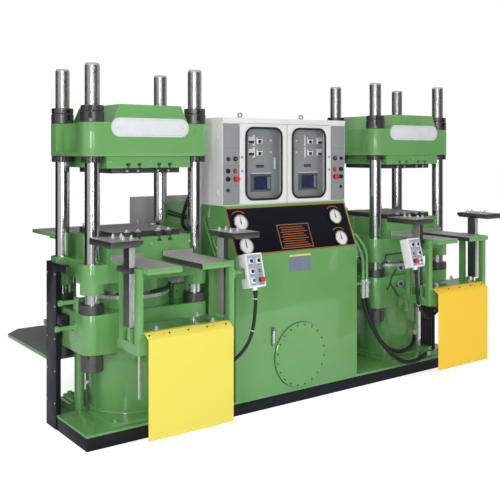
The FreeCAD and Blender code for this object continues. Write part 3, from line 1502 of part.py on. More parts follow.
def tube(label, points, radius):
    """Round bar along straight runs joined by tangent arcs."""
    edges = []
    here = points[0]
    for before, corner, after in zip(points, points[1:], points[2:]):
        back = before - corner
        ahead = after - corner
        turn = math.pi - back.getAngle(ahead)
        reach = 0.45 * min(back.Length, ahead.Length)
        back.normalize()
        ahead.normalize()
        start = corner + back * reach
        end = corner + ahead * reach
        if turn < 0.01:
            edges.append(Part.LineSegment(here, end).toShape())
            here = end
            continue
        bend = reach / math.tan(turn / 2)
        inward = (back + ahead).normalize()
        middle = corner + inward * (math.hypot(reach, bend) - bend)
        edges.append(Part.LineSegment(here, start).toShape())
        edges.append(Part.Arc(start, middle, end).toShape())
        here = end
    edges.append(Part.LineSegment(here, points[-1]).toShape())
    path = Part.Wire(edges)
    profile = Part.Wire([Part.Circle(points[0], points[1] - points[0], radius).toShape()])
    solid = path.makePipeShell([profile], True, False)
    section = math.pi * radius ** 2
    if abs(solid.Volume / (section * path.Length) - 1) > 0.02:
        raise RuntimeError(f"{label}: the tube's volume doesn't match its length")
    item = document.addObject("Part::Feature", label)
    item.Shape = solid
    print(f"{label}: {path.Length:.0f} mm long")
    return item


def socket(item):
    """Middle of a round sub-part's foot and the way that foot faces."""
    return item.Placement.Base, item.Placement.Rotation.multVec(Vector(0, 0, -1))


def cord(label, first, last, between, radius):
    """Cord from one fitting's foot to another's. Its points are shares of the way between the leads."""
    start, outward = socket(document.getObject(first))
    end, facing = socket(document.getObject(last))
    leave = start + outward * SIZES["cord_lead"]
    arrive = end + facing * SIZES["cord_lead"]
    span = arrive - leave
    points = [start, leave]
    points += [leave + Vector(x * span.x, y * span.y, z * span.z) for x, y, z in between]
    points += [arrive, end]
    return tube(label, points, radius)


def make_pipes():
    """Steel pipes from the tank's side, their bracket and fittings, and the hose elbows."""
    parts = []
    for name in ("inner", "outer"):
        x = f"{name}_pipe_x"
        parts.append(rod(name + "_fitting", (x, "-pipe_plane", "fitting_bottom"), "fitting_radius",
                         "fitting_length"))
        right = SIZES["tank_centre"] + SIZES["tank_length"] / 2
        here = SIZES[name + "_pipe_x"]
        top = SIZES[name + "_pipe_top"]
        bottom = SIZES["fitting_bottom"] + SIZES["fitting_length"]
        plane = -SIZES["pipe_plane"]
        points = [Vector(right, plane, top), Vector(right + SIZES["pipe_tail"], plane, top),
                  Vector(here, plane, top - SIZES["pipe_drop"]), Vector(here, plane, bottom)]
        parts.append(tube(name + "_pipe", points, SIZES["pipe_radius"]))
    parts.append(box("pipe_bracket", ("tank_right", "-pipe_plane - bar_size / 3", "pipe_bracket_z"),
                     ("outer_pipe_x + bracket_end - tank_right", "bar_size * 2 / 3", "bracket_height")))
    supply = fuse("pipe_run", parts)
    right_x = press_x(1)
    block = [
        box("manifold", (f"{right_x} + manifold_x", "-foot_width / 2", "barrel_bottom"),
            ("manifold_length", "manifold_depth", "manifold_height")),
        rod("manifold_stub", (f"{right_x} + manifold_x + elbow_size / 2", "-hose_lane",
                              "barrel_bottom + manifold_height / 2"),
            "pipe_radius + 2", "hose_lane - foot_width / 2 + 2", along="y"),
        box("manifold_elbow", (f"{right_x} + manifold_x", "-hose_lane - elbow_size / 2",
                               "barrel_bottom + manifold_height / 2 - elbow_size / 2"),
            ("elbow_size", "elbow_size", "elbow_size")),
        rod("pressure_port", (f"{right_x} + manifold_x - port_length", "-hose_lane",
                              "barrel_bottom + manifold_height / 2"), "hose_radius", "port_length + 2",
            along="x"),
    ]
    elbow = box("barrel_elbow", (f"{right_x} - elbow_size / 2", "-barrel_elbow_y - elbow_size / 2",
                                 "barrel_elbow_z"),
                ("elbow_size", "barrel_elbow_y", "elbow_size"))
    seat = rod("barrel_elbow_seat", (right_x, "0", "barrel_elbow_z - 1"), "barrel_radius", "elbow_size + 2")
    port = rod("return_port", (right_x, "-barrel_elbow_y", "barrel_elbow_z - port_length"), "hose_radius",
               "port_length + 2")
    parts = [supply, fuse("manifold_block", block),
             fuse("barrel_connection", [cut("seated_elbow", elbow, seat), port])]
    return parts + make_junctions() + make_stubs()


def make_junctions():
    """Boxes under the front frames where the pendant cables end."""
    left = box("left_junction", (f"{press_x(-1)} + junction_x", "-rear_post_front",
                                 "frame_bottom - junction_height"),
               ("junction_length", "junction_width", "junction_height"))
    left_port = rod("left_junction_port", (f"{press_x(-1)} + junction_x + junction_length / 2",
                                           "-rear_post_front + junction_width / 2",
                                           "frame_bottom - junction_height - port_length"),
                    "gland_radius", "port_length + 1")
    right = box("right_junction", (f"{press_x(1)} - junction_x - junction_length", "-frame_front",
                                   "frame_bottom - junction_height"),
                ("junction_length", "junction_width", "junction_height"))
    right_port = rod("right_junction_port", (f"{press_x(1)} - junction_x - junction_length - port_length",
                                             "-frame_front + junction_width / 2",
                                             "frame_bottom - junction_height / 2"),
                     "gland_radius", "port_length + 1", along="x")
    return [fuse("left_junction_box", [left, left_port]), fuse("right_junction_box", [right, right_port])]


def make_cords():
    hose = SIZES["hose_radius"]
    cable = SIZES["cable_radius"]
    return [
        cord("pressure_hose", "inner_fitting", "pressure_port",
             [(0.032, 0.16, 0.21), (0.133, 0.383, 0.489), (0.265, 0.617, 0.73), (0.434, 0.84, 0.938),
              (0.616, 1.012, 1.064), (0.849, 1.0, 1.073)], hose),
        cord("return_hose", "outer_fitting", "return_port",
             [(0.063, 0.06, 0.343), (0.168, -0.02, 0.786), (0.34, -0.18, 1.08), (0.553, -0.24, 1.225),
              (0.79, 0.04, 1.225), (0.956, 0.64, 1.137)], hose),
        cord("left_pendant_cable", "left_pendant_gland", "left_junction_port",
             [(-0.021, 0.164, 0.501), (0.057, 0.21, 0.792), (0.247, 0.334, 1.042), (0.49, 0.517, 1.189),
              (0.733, 0.701, 1.205), (0.939, 0.885, 1.125)], cable),
        cord("right_pendant_cable", "right_pendant_gland", "right_junction_port",
             [(0.155, 1.163, 0.686), (0.34, 1.425, 1.045), (0.581, 1.49, 1.265), (0.791, 1.294, 1.174)],
             cable),
    ]


# Assembly: one list of sub-parts, each saved under its own name


def both(maker):
    """What a maker returns for each press, in one list."""
    parts = []
    for side, word in SIDES:
        made = maker(side, word)
        parts += made if isinstance(made, list) else [made]
    return parts


def hot_plate(side, label, bottom, height):
    """Steel plate bored from the back, with a rod heater in each bore."""
    plate = box(label + "_blank", (shifted(side, "-plate_length / 2"), "-plate_width / 2", bottom),
                ("plate_length", "plate_width", height))
    bores = []
    heaters = []
    for number in range(4):
        x = shifted(side, f"plate_length * {2 * number - 3} / 8")
        middle = f"{bottom} + {height} / 2"
        depth = "plate_width - heater_inset"
        bores.append(rod(f"{label}_bore_{number}", (x, "-plate_width / 2 + heater_inset", middle),
                         "heater_radius + seat_gap", f"{depth} + 1", along="y"))
        heaters.append(rod(f"{label}_heater_{number}", (x, "-plate_width / 2 + heater_inset", middle),
                           "heater_radius", f"{depth} + heater_proud", along="y"))
    return [cut(label + "_bored", plate, fuse(label + "_bores", bores))] + heaters


def make_upper_hot_plate(side, word):
    return hot_plate(side, word + "_upper_plate", "upper_plate_bottom", "upper_plate_height")


def make_columns(side, word):
    return [make_column(side, word, number) for number in range(4)]


def make_rings(side, word):
    return sum([make_column_rings(side, word, number) for number in range(4)], [])


def make_tables(side, word):
    return [make_table(side, word, hand) for hand in (-1, 1)]


def make_press_movers(side, word):
    nodes = [
        make_platen(side, word),
        rod(word + "_ram", (press_x(side), "0", "barrel_bottom + barrel_floor + ram_clearance"),
            "ram_radius", "ram_flange_bottom - barrel_bottom - barrel_floor - ram_clearance"),
        group(word + "_lower_hot_plate",
              hot_plate(side, word + "_lower_plate", "platen_top", "lower_plate_height")),
        make_door(side, word), make_window(side, word),
    ]
    for hand in (-1, 1):
        nodes.append(make_lift(side, hand, f"{word}_{'outer' if hand == side else 'inner'}_lift"))
    return nodes


def check_and_save(nodes):
    document.recompute()
    for item in document.Objects:
        if "Invalid" in item.State or "Error" in item.State:
            raise RuntimeError(f"{item.Label} failed to build")
    os.makedirs("parts", exist_ok=True)
    for node in nodes:
        shape = node.Shape
        if shape.isNull() or not shape.isValid() or not shape.Solids:
            raise RuntimeError(f"{node.Label} has no valid solid")
        shape.exportStep(os.path.join("parts", node.Label + ".step"))


def main():
    nodes = make_plinth()
    nodes += [
        group("press_beds", both(make_bed)), group("main_cylinders", both(make_barrel)),
        group("crowns", both(make_crown)), group("upper_bolsters", both(make_bolster)),
        group("upper_hot_plates", both(make_upper_hot_plate)), group("tie_columns", both(make_columns)),
        group("column_nuts", both(make_rings)), group("front_frames", both(make_front_frame)),
        group("work_tables", both(make_tables)), group("front_guards", both(make_guard)),
        group("lift_guides", both(make_lift_guides)), make_tank(), make_tank_cover(), make_console_panel(),
        make_gauges(), make_cabinet(), make_instruments(), make_unit_cover(), make_duct(),
        group("pendant_boxes", both(make_pendant)),
        group("rear_platforms", both(make_rear_table) + both(make_platform)),
        group("hydraulic_pipes", make_pipes()),
    ]
    nodes += both(make_press_movers) + make_needles() + make_cabinet_controls() + make_pendant_controls()
    document.recompute()
    nodes += make_cords()
    check_and_save(nodes)


main()
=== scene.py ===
import json
import math

import bmesh
import bpy
from mathutils import Matrix, Vector

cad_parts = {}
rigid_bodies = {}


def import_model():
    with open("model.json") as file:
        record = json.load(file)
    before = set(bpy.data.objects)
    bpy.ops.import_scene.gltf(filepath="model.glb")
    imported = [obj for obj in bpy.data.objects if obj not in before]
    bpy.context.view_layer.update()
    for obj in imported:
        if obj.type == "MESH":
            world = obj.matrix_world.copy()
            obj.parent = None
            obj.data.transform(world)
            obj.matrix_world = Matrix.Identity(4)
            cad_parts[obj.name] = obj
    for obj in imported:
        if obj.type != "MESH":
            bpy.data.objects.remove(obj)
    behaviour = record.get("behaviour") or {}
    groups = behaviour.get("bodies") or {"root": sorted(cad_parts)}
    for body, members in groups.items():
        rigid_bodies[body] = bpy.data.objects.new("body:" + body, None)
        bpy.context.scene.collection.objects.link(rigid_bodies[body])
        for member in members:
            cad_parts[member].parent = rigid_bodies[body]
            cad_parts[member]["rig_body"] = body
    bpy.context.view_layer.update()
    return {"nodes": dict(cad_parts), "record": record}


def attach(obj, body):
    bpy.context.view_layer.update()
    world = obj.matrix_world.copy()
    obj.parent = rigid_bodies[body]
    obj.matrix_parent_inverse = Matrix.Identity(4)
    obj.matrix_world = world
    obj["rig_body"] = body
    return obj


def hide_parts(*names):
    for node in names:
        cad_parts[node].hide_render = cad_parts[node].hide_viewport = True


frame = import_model()
nodes = frame["nodes"]
scene = bpy.context.scene
scene.view_settings.view_transform = "Standard"

# Middles, walls and heights that several pieces share, in metres
PRESS_X = 1.18
COLUMN_X = 0.359
COLUMN_Y = 0.227
CROWN_FRONT = -0.2988
PLATEN_TOP = 1.193
TANK_X = -0.074
TANK_FRONT = -0.397
TANK_BACK = 0.516
CABINET_X = -0.08
DOOR_X = 0.202
STRIP_X = 0.475
PANEL_FRONT = -0.203
STRIP_FRONT = -0.264
LEFT_WALL = -0.6105

BOTH = (-1, 1)
SIDES = ((-1, "left"), (1, "right"))


def about(axis, degrees):
    return Matrix.Rotation(math.radians(degrees), 4, axis)


def at(x, y, z):
    return Matrix.Translation((x, y, z))


FACING = about("X", 90)


def front(x, y, z):
    """Place on a wall that looks to the front, with Z out of the wall and Y up."""
    return at(x, y, z) @ FACING


def left(x, y, z):
    return at(x, y, z) @ about("Z", -90) @ FACING


def behind(x, y, z):
    return at(x, y, z) @ about("Z", 180) @ FACING


# Camera, light and floor


def stand_camera():
    """Level camera at eye height, with the lens dropped to frame the floor."""
    lens = bpy.data.cameras.new("viewpoint")
    lens.lens = 56.2
    lens.sensor_width = 36
    lens.shift_x = -0.001
    lens.shift_y = -0.1975
    lens.clip_end = 60
    camera = bpy.data.objects.new("viewpoint", lens)
    camera.location = (-3.5048, -4.5591, 1.7221)
    camera.rotation_euler = (math.radians(90), 0, math.radians(-35.872))
    scene.collection.objects.link(camera)
    scene.camera = camera


def hang_lamp(name, place, aim, power, width, height, shiny=False):
    """Soft rectangular lamp. Only a shiny one shows in polished metal."""
    data = bpy.data.lights.new(name, "AREA")
    data.shape = "RECTANGLE"
    data.size = width
    data.size_y = height
    data.energy = power
    lamp = bpy.data.objects.new(name, data)
    lamp.location = place
    lamp.rotation_euler = (Vector(aim) - Vector(place)).to_track_quat("-Z", "Y").to_euler()
    lamp.visible_camera = False
    lamp.visible_glossy = shiny
    scene.collection.objects.link(lamp)


class Nodes:
    """Short ways to add nodes to a tree."""

    def __init__(self, tree):
        self.tree = tree

    def node(self, kind, **inputs):
        made = self.tree.nodes.new("ShaderNode" + kind)
        for key, value in inputs.items():
            made.inputs[key.replace("_", " ")].default_value = value
        return made

    def link(self, source, target):
        self.tree.links.new(source, target)

    def work(self, operation, first, second):
        made = self.node("Math")
        made.operation = operation
        for socket, value in zip(made.inputs, (first, second)):
            if isinstance(value, (int, float)):
                socket.default_value = value
            else:
                self.link(value, socket)
        return made.outputs[0]


# Screens round the machine as polished metal sees them: way round from +X in turns, and brightness
SCREENS = ((0.0, 0.45), (0.10, 0.4), (0.15, 0.1), (0.20, 0.02), (0.44, 0.02), (0.475, 0.5),
           (0.56, 0.55), (0.63, 0.68), (0.672, 0.68), (0.69, 0.22), (0.76, 0.1), (0.84, 0.02),
           (0.90, 0.04), (0.935, 0.45))
AMBIENT = 0.36
FLOOR_GLOW = 0.68


def light_studio():
    """White surroundings for the camera, white and dark screens for the metal, soft lamps."""
    world = bpy.data.worlds.new("studio")
    scene.world = world
    world.use_nodes = True
    sky = world.node_tree.nodes["Background"]
    nodes_of = Nodes(world.node_tree)
    add, link, work = nodes_of.node, nodes_of.link, nodes_of.work
    split = add("SeparateXYZ")
    link(add("TexCoord").outputs["Generated"], split.inputs[0])
    angle = work("ARCTAN2", split.outputs["Y"], split.outputs["X"])
    turn = work("FRACT", work("ADD", work("DIVIDE", angle, 2 * math.pi), 1.0), 0.0)
    screens = add("ValToRGB")
    link(turn, screens.inputs[0])
    stops = screens.color_ramp.elements
    stops.remove(stops[-1])
    for place, level in SCREENS:
        stop = stops.new(place) if place else stops[0]
        stop.color = (level, level, level, 1)
    above = add("MapRange", From_Min=0.25, From_Max=0.75, To_Max=0.8)
    link(split.outputs["Z"], above.inputs["Value"])
    mirrored = work("MAXIMUM", screens.outputs[0], above.outputs["Result"])
    path = add("LightPath")
    glossy = path.outputs["Is Glossy Ray"]
    other = work("MULTIPLY", work("SUBTRACT", 1.0, glossy), AMBIENT)
    seen = work("MAXIMUM", path.outputs["Is Camera Ray"], path.outputs["Is Transmission Ray"])
    level = work("MAXIMUM", work("MULTIPLY", glossy, mirrored), work("MAXIMUM", other, seen))
    sky.inputs["Color"].default_value = (1, 1, 1, 1)
    link(level, sky.inputs["Strength"])
    hang_lamp("key_lamp", (-3.2, -5.0, 2.2), (-0.2, 0, 0.7), 44, 2.6, 2.0)
    hang_lamp("front_lamp", (2.2, -5.2, 1.5), (0.3, 0, 0.7), 70, 3.0, 1.8)
    hang_lamp("left_lamp", (-5.6, 0.4, 2.4), (-0.8, 0, 1.0), 36, 2.0, 2.0)
    hang_lamp("top_lamp", (0.2, -0.4, 4.8), (0, 0, 1.2), 54, 4.5, 2.5)
    hang_lamp("strip_lamp", (-3.93, -3.53, 1.8), (-1.73, -0.33, 1.8), 42, 0.45, 1.7, shiny=True)
    hang_lamp("slim_lamp", (-2.1, -4.2, 1.8), (0.1, -1.0, 1.8), 20, 0.3, 1.7, shiny=True)


def lay_floor():
    """Pale floor that is white to the camera away from the machine's shadow."""
    bm = bmesh.new()
    bmesh.ops.create_grid(bm, x_segments=1, y_segments=1, size=5)
    mesh = bpy.data.meshes.new("studio_floor")
    bm.to_mesh(mesh)
    bm.free()
    floor = bpy.data.objects.new("studio_floor", mesh)
    scene.collection.objects.link(floor)
    finish = bpy.data.materials.new("pale_floor")
    finish.use_nodes = True
    shader = finish.node_tree.nodes["Principled BSDF"]
    shader.inputs["Base Color"].default_value = (0.9, 0.9, 0.9, 1)
    shader.inputs["Roughness"].default_value = 0.8
    shader.inputs["Emission Color"].default_value = (1, 1, 1, 1)
    nodes_of = Nodes(finish.node_tree)
    glow = nodes_of.work("MULTIPLY", nodes_of.node("LightPath").outputs["Is Camera Ray"], FLOOR_GLOW)
    nodes_of.link(glow, shader.inputs["Emission Strength"])
    mesh.materials.append(finish)


stand_camera()
light_studio()
lay_floor()


# Finishes. Patterns read Object coordinates, which are the machine's own frame in metres.

FINISHES = {}


class Finish(Nodes):
    """A material, kept in FINISHES by its name, with short ways to add its nodes."""

    def __init__(self, name, colour, metal=0.0, rough=0.4):
        FINISHES[name] = material = bpy.data.materials.new(name)
        material.use_nodes = True
        super().__init__(material.node_tree)
        self.shader = self.tree.nodes["Principled BSDF"]
        self.shader.inputs["Base Color"].default_value = (*colour, 1)
        self.shader.inputs["Metallic"].default_value = metal
        self.shader.inputs["Roughness"].default_value = rough

    def noise(self, scale, detail=3.0, stretch=(1, 1, 1)):
        coordinates = self.node("TexCoord")
        mapping = self.node("Mapping", Scale=stretch)
        self.link(coordinates.outputs["Object"], mapping.inputs["Vector"])
        made = self.node("TexNoise", Scale=scale, Detail=detail)
        self.link(mapping.outputs[0], made.inputs["Vector"])
        return made.outputs["Fac"]

    def range(self, source, low, high, from_low=0.3, from_high=0.7):
        made = self.node("MapRange", From_Min=from_low, From_Max=from_high, To_Min=low, To_Max=high)
        self.link(source, made.inputs["Value"])
        return made.outputs["Result"]

    def blend(self, share, first, second):
        made = self.node("Mix")
        made.data_type = "RGBA"
        for slot, value in ((6, first), (7, second)):
            if isinstance(value, tuple):
                made.inputs[slot].default_value = (*value, 1)
            else:
                self.link(value, made.inputs[slot])
        self.link(share, made.inputs[0])
        return made.outputs[2]

    def bump(self, source, strength, distance):
        made = self.node("Bump", Strength=strength, Distance=distance)
        self.link(source, made.inputs["Height"])
        self.link(made.outputs[0], self.shader.inputs["Normal"])

    def tint(self, source):
        self.link(source, self.shader.inputs["Base Color"])


def shade(colour, share):
    return tuple(min(1.0, channel * share) for channel in colour)


def enamel(name, colour, rough=0.32, peel=0.1, grime=0.12, coat=0.0, sheen=0.5):
    """Sprayed machine enamel: orange peel, slow colour drift and a little dust."""
    made = Finish(name, colour, 0.0, rough)
    drift = made.range(made.noise(1.6, 4), 0, 1)
    tone = made.blend(drift, shade(colour, 1 - grime / 2), shade(colour, 1 + grime / 3))
    specks = made.range(made.noise(90, 5), 0, 1, 0.66, 0.8)
    made.tint(made.blend(specks, tone, shade(colour, 1 - grime)))
    made.link(made.range(made.noise(5, 4), rough - 0.06, rough + 0.1), made.shader.inputs["Roughness"])
    made.bump(made.noise(420, 2), peel, 0.0004)
    made.shader.inputs["Coat Weight"].default_value = coat
    made.shader.inputs["Coat Roughness"].default_value = 0.07
    made.shader.inputs["Specular IOR Level"].default_value = sheen


def worked_steel(name, colour, rough, stretch, metal=1.0, stain=0.3, relief=0.1):
    """Ground or brushed steel: streaks along one axis and faint oil staining."""
    made = Finish(name, colour, metal, rough)
    stains = made.range(made.noise(7, 5), 0, 1)
    streaks = made.range(made.noise(60, 6, stretch), 0, 1)
    tone = made.blend(stains, shade(colour, 1 - stain), colour)
    made.tint(made.blend(streaks, tone, shade(colour, 1 + stain / 2)))
    made.link(made.range(made.noise(90, 5, stretch), rough * 0.82, rough * 1.25),
              made.shader.inputs["Roughness"])
    made.bump(made.noise(160, 3, stretch), relief, 0.0002)


def moulded(name, colour, rough=0.45, grain=0.1):
    """Moulded plastic or rubber with a fine grain."""
    made = Finish(name, colour, 0.0, rough)
    drift = made.range(made.noise(24, 3), 0, 1)
    made.tint(made.blend(drift, shade(colour, 0.88), shade(colour, 1.1)))
    made.bump(made.noise(900, 2), grain, 0.0002)


def lit_plastic(name, colour, glow):
    made = Finish(name, colour, 0.0, 0.2)
    made.shader.inputs["Coat Weight"].default_value = 0.6
    drift = made.range(made.noise(60, 2), 0, 1)
    made.tint(made.blend(drift, shade(colour, 0.85), colour))
    made.shader.inputs["Emission Color"].default_value = (*colour, 1)
    made.shader.inputs["Emission Strength"].default_value = glow


def window_glass():
    """Thin clear pane with faint smears."""
    made = Finish("window_glass", (0.3, 0.33, 0.34), 0.0, 0.04)
    made.shader.inputs["IOR"].default_value = 1.2
    made.shader.inputs["Alpha"].default_value = 0.03
    made.link(made.range(made.noise(9, 5), 0.02, 0.07), made.shader.inputs["Roughness"])


enamel("machine_green", (0.150, 0.385, 0.118), grime=0.08, coat=1.0)
enamel("base_black", (0.009, 0.012, 0.019), 0.36, sheen=0.3)
worked_steel("hard_chrome", (0.7, 0.71, 0.72), 0.13, (4, 4, 0.15), stain=0.05, relief=0.02)
worked_steel("dark_steel", (0.13, 0.13, 0.13), 0.36, (3, 3, 1), 0.8)
worked_steel("ground_steel", (0.46, 0.46, 0.45), 0.36, (0.5, 5, 5), 0.5, 0.16, 0.05)
enamel("guard_yellow", (0.83, 0.72, 0.1), 0.35, grime=0.04)
enamel("guard_gold", (0.97, 0.63, 0.034), 0.35, grime=0.04)
enamel("panel_black", (0.004, 0.005, 0.010), 0.4, sheen=0.12)
worked_steel("gauge_steel", (0.36, 0.36, 0.36), 0.25, (1, 1, 1), stain=0.15)
enamel("cabinet_grey", (0.79, 0.79, 0.77), 0.38, grime=0.04)
enamel("instrument_grey", (0.27, 0.285, 0.29), 0.42)
window_glass()
enamel("needle_black", (0.01, 0.01, 0.01), 0.5)
moulded("stop_red", (0.72, 0.02, 0.018), 0.3)
moulded("start_green", (0.0, 0.26, 0.2), 0.3)
moulded("knob_black", (0.012, 0.012, 0.014), 0.4)
enamel("pendant_grey", (0.36, 0.41, 0.5), 0.4)
moulded("cable_rubber", (0.016, 0.016, 0.018), 0.48)
enamel("checker_steel", (0.13, 0.14, 0.13), 0.5, 0.3, 0.3)
worked_steel("ram_steel", (0.68, 0.68, 0.69), 0.3, (1.5, 1.5, 0.15), 0.5, 0.05, 0.03)
worked_steel("plate_top_steel", (0.4, 0.4, 0.395), 0.42, (0.5, 5, 5), 0.4, 0.22)
worked_steel("thread_steel", (0.66, 0.66, 0.66), 0.3, (1, 1, 1), stain=0.06, relief=0.02)
enamel("dial_white", (0.78, 0.78, 0.76), 0.35, 0.02, 0.04)
enamel("plate_white", (0.72, 0.74, 0.78), 0.28, 0.05, 0.06)
enamel("trim_orange", (0.5, 0.13, 0.022), 0.4, 0.05)
worked_steel("fitting_zinc", (0.62, 0.63, 0.64), 0.28, (2, 2, 2), 0.5, 0.12)
moulded("screen_bezel", (0.075, 0.1, 0.135), 0.4)
lit_plastic("screen_blue", (0.004, 0.012, 0.06), 0.12)
lit_plastic("amber_lens", (0.75, 0.17, 0.02), 0.15)
lit_plastic("clear_lens", (0.72, 0.74, 0.74), 0.08)
# On the cabinet's end walls and the screen bezel's top bar this white is painted light; on the pendants,
# hinge leaves and controllers it is their own white.
enamel("side_white", (0.96, 0.94, 0.96), 0.4, grime=0.02)
enamel("cover_grey", (0.36, 0.36, 0.355), 0.4)
enamel("plate_silver", (0.2, 0.24, 0.31), 0.34, grime=0.3)
enamel("mark_orange", (0.95, 0.4, 0.03), 0.4, 0.02, 0.04)
enamel("frame_brass", (0.2, 0.13, 0.05), 0.4, 0.05)
moulded("valve_blue", (0.2, 0.26, 0.36), 0.35)


# Small shapes, each a bmesh of its own, and the way they become pieces

DOUBLES = 1e-6
CAD_DOUBLES = 1e-5
BEND_STEPS = 6
SHARP = math.radians(32)
CAD_SHARP = 0.6


def placed(part, *turns):
    for turn in reversed(turns):
        bmesh.ops.transform(part, matrix=turn, verts=part.verts)
    return part


def joined(bm, part, *turns):
    """Put a small shape in place and add it to a larger one."""
    mesh = bpy.data.meshes.new("passing")
    placed(part, *turns).to_mesh(mesh)
    part.free()
    bm.from_mesh(mesh)
    bpy.data.meshes.remove(mesh)
    return bm


def soften(bm, edges, width, steps=2):
    bmesh.ops.bevel(bm, geom=list(edges), offset=width, segments=steps, profile=0.5, affect="EDGES",
                    material=-1, clamp_overlap=True)


def rim_at(bm, height):
    """Edges that lie at the top of a shape."""
    return [edge for edge in bm.edges if min(vert.co.z for vert in edge.verts) > height - DOUBLES]


def slab(low, high, bevel=0.0, steps=2):
    """Box between two corners with softened edges."""
    bm = bmesh.new()
    verts = bmesh.ops.create_cube(bm, size=1)["verts"]
    low = Vector(low)
    high = Vector(high)
    bmesh.ops.scale(bm, vec=high - low, verts=verts)
    bmesh.ops.translate(bm, vec=(low + high) / 2, verts=verts)
    if bevel:
        soften(bm, bm.edges, bevel, steps)
    return bm


def plate(width, height, depth, corner, bevel=0.0, steps=6):
    """Plate with round corners, centred on the origin and standing on Z = 0."""
    bm = slab((-width / 2, -height / 2, 0), (width / 2, height / 2, depth))
    uprights = [edge for edge in bm.edges if abs(edge.verts[0].co.z - edge.verts[1].co.z) > depth / 2]
    soften(bm, uprights, corner, steps)
    if bevel:
        soften(bm, rim_at(bm, depth), bevel)
    return bm


def hoop(width, height, depth, corner, thickness, steps=6):
    """Round-cornered frame with an opening, standing on Z = 0."""
    bm = plate(width, height, depth, corner, steps=steps)
    caps = [face for face in bm.faces if abs(face.normal.z) > 0.9]
    bmesh.ops.inset_individual(bm, faces=caps, thickness=thickness, use_even_offset=True)
    loops = list({edge for face in caps for edge in face.edges})
    bmesh.ops.delete(bm, geom=caps, context="FACES_ONLY")
    bmesh.ops.bridge_loops(bm, edges=loops)
    return bm


def turned(profile, steps=32, closed=False):
    """Lathe a profile of radius and height about Z. An open profile begins and ends on the axis."""
    bm = bmesh.new()
    verts = [bm.verts.new((radius, 0, height)) for radius, height in profile]
    pairs = list(zip(verts, verts[1:])) + ([(verts[-1], verts[0])] if closed else [])
    edges = [bm.edges.new(pair) for pair in pairs]
    bmesh.ops.spin(bm, geom=verts + edges, cent=(0, 0, 0), axis=(0, 0, 1), angle=2 * math.pi, steps=steps,
                   use_merge=True)
    bmesh.ops.remove_doubles(bm, verts=bm.verts, dist=DOUBLES)
    bmesh.ops.recalc_face_normals(bm, faces=bm.faces)
    return bm


def disc(radius, low, high, edge=0.001, steps=24):
    return turned([(0, low), (radius, low), (radius, high - edge), (radius - edge, high), (0, high)], steps)


def tube_ring(outer, inner, low, high, edge=0.001, steps=32):
    return turned([(inner, low), (outer, low), (outer, high - edge), (outer - edge, high), (inner, high)],
                  steps, closed=True)


def hexagon(radius, height, edge=0.001):
    """Hexagon head standing on Z = 0."""
    bm = bmesh.new()
    bmesh.ops.create_circle(bm, cap_ends=True, radius=radius, segments=6)
    bmesh.ops.translate(bm, vec=(0, 0, height), verts=bm.verts)
    top = bm.faces[:]
    bmesh.ops.recalc_face_normals(bm, faces=top)
    side = bmesh.ops.extrude_face_region(bm, geom=top)
    low = [item for item in side["geom"] if isinstance(item, bmesh.types.BMVert)]
    bmesh.ops.translate(bm, vec=(0, 0, -height), verts=low)
    soften(bm, rim_at(bm, height), edge, 1)
    return bm


def socket_screw(radius, height):
    """Round head with a recess for the key."""
    hole = radius * 0.5
    return turned([(0, height * 0.4), (hole, height * 0.4), (hole, height), (radius * 0.9, height),
                   (radius, height * 0.85), (radius, 0), (0, 0)], 14)


def bent_bar(points, radius, turn):
    """Round bar along straight runs, each bend at most a turn away from its corner."""
    bm = bmesh.new()
    line = bpy.data.curves.new("bar_line", "CURVE")
    line.dimensions = "3D"
    run = line.splines.new("POLY")
    places = [Vector(point) for point in points]
    path = [places[0]]
    for before, corner, after in zip(places, places[1:], places[2:]):
        back = (before - corner).normalized() * min(turn, (before - corner).length / 2)
        ahead = (after - corner).normalized() * min(turn, (after - corner).length / 2)
        for step in range(BEND_STEPS + 1):
            share = step / BEND_STEPS
            path.append(corner + back * (1 - share) ** 2 + ahead * share ** 2)
    path.append(places[-1])
    run.points.add(len(path) - 1)
    for point, place in zip(run.points, path):
        point.co = (*place, 1)
    line.bevel_depth = radius
    line.bevel_resolution = 4
    line.use_fill_caps = True
    item = bpy.data.objects.new("bar_line", line)
    mesh = bpy.data.meshes.new_from_object(item)
    bm.from_mesh(mesh)
    bmesh.ops.remove_doubles(bm, verts=bm.verts, dist=DOUBLES)
    bmesh.ops.recalc_face_normals(bm, faces=bm.faces)
    bpy.data.objects.remove(item)
    bpy.data.curves.remove(line)
    bpy.data.meshes.remove(mesh)
    return bm


def keep(bm, name, finish, replaced=(), also=(), body="machine"):
    """Turn a bmesh into a piece that rides on a body and takes a record slot's finish."""
    mesh = bpy.data.meshes.new(name)
    bm.to_mesh(mesh)
    bm.free()
    piece = bpy.data.objects.new(name, mesh)
    scene.collection.objects.link(piece)
    for slot in (finish, *also):
        mesh.materials.append(FINISHES[slot])
    mesh.shade_smooth()
    mesh.set_sharp_from_angle(angle=SHARP)
    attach(piece, body)
    if replaced:
        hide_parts(*replaced)


def dress_node(name, bevel=0.002, finish=None, steps=2, also=(), pick=None):
    """A merged copy of a CAD part with softened edges, which stands for that part.

    pick gives each face's place in the list of finishes.
    """
    source = nodes[name]
    bm = bmesh.new()
    bm.from_mesh(source.data)
    bmesh.ops.remove_doubles(bm, verts=bm.verts, dist=CAD_DOUBLES)
    bmesh.ops.dissolve_limit(bm, angle_limit=math.radians(0.5), verts=bm.verts, edges=bm.edges)
    for face in bm.faces:
        face.material_index = pick(face) if pick else 0
    sharp = [edge for edge in bm.edges if len(edge.link_faces) == 2 and edge.calc_face_angle(0) > CAD_SHARP]
    soften(bm, sharp, bevel, steps)
    keep(bm, name + "_finished", finish or slot_of[name], (name,), also, source["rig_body"])


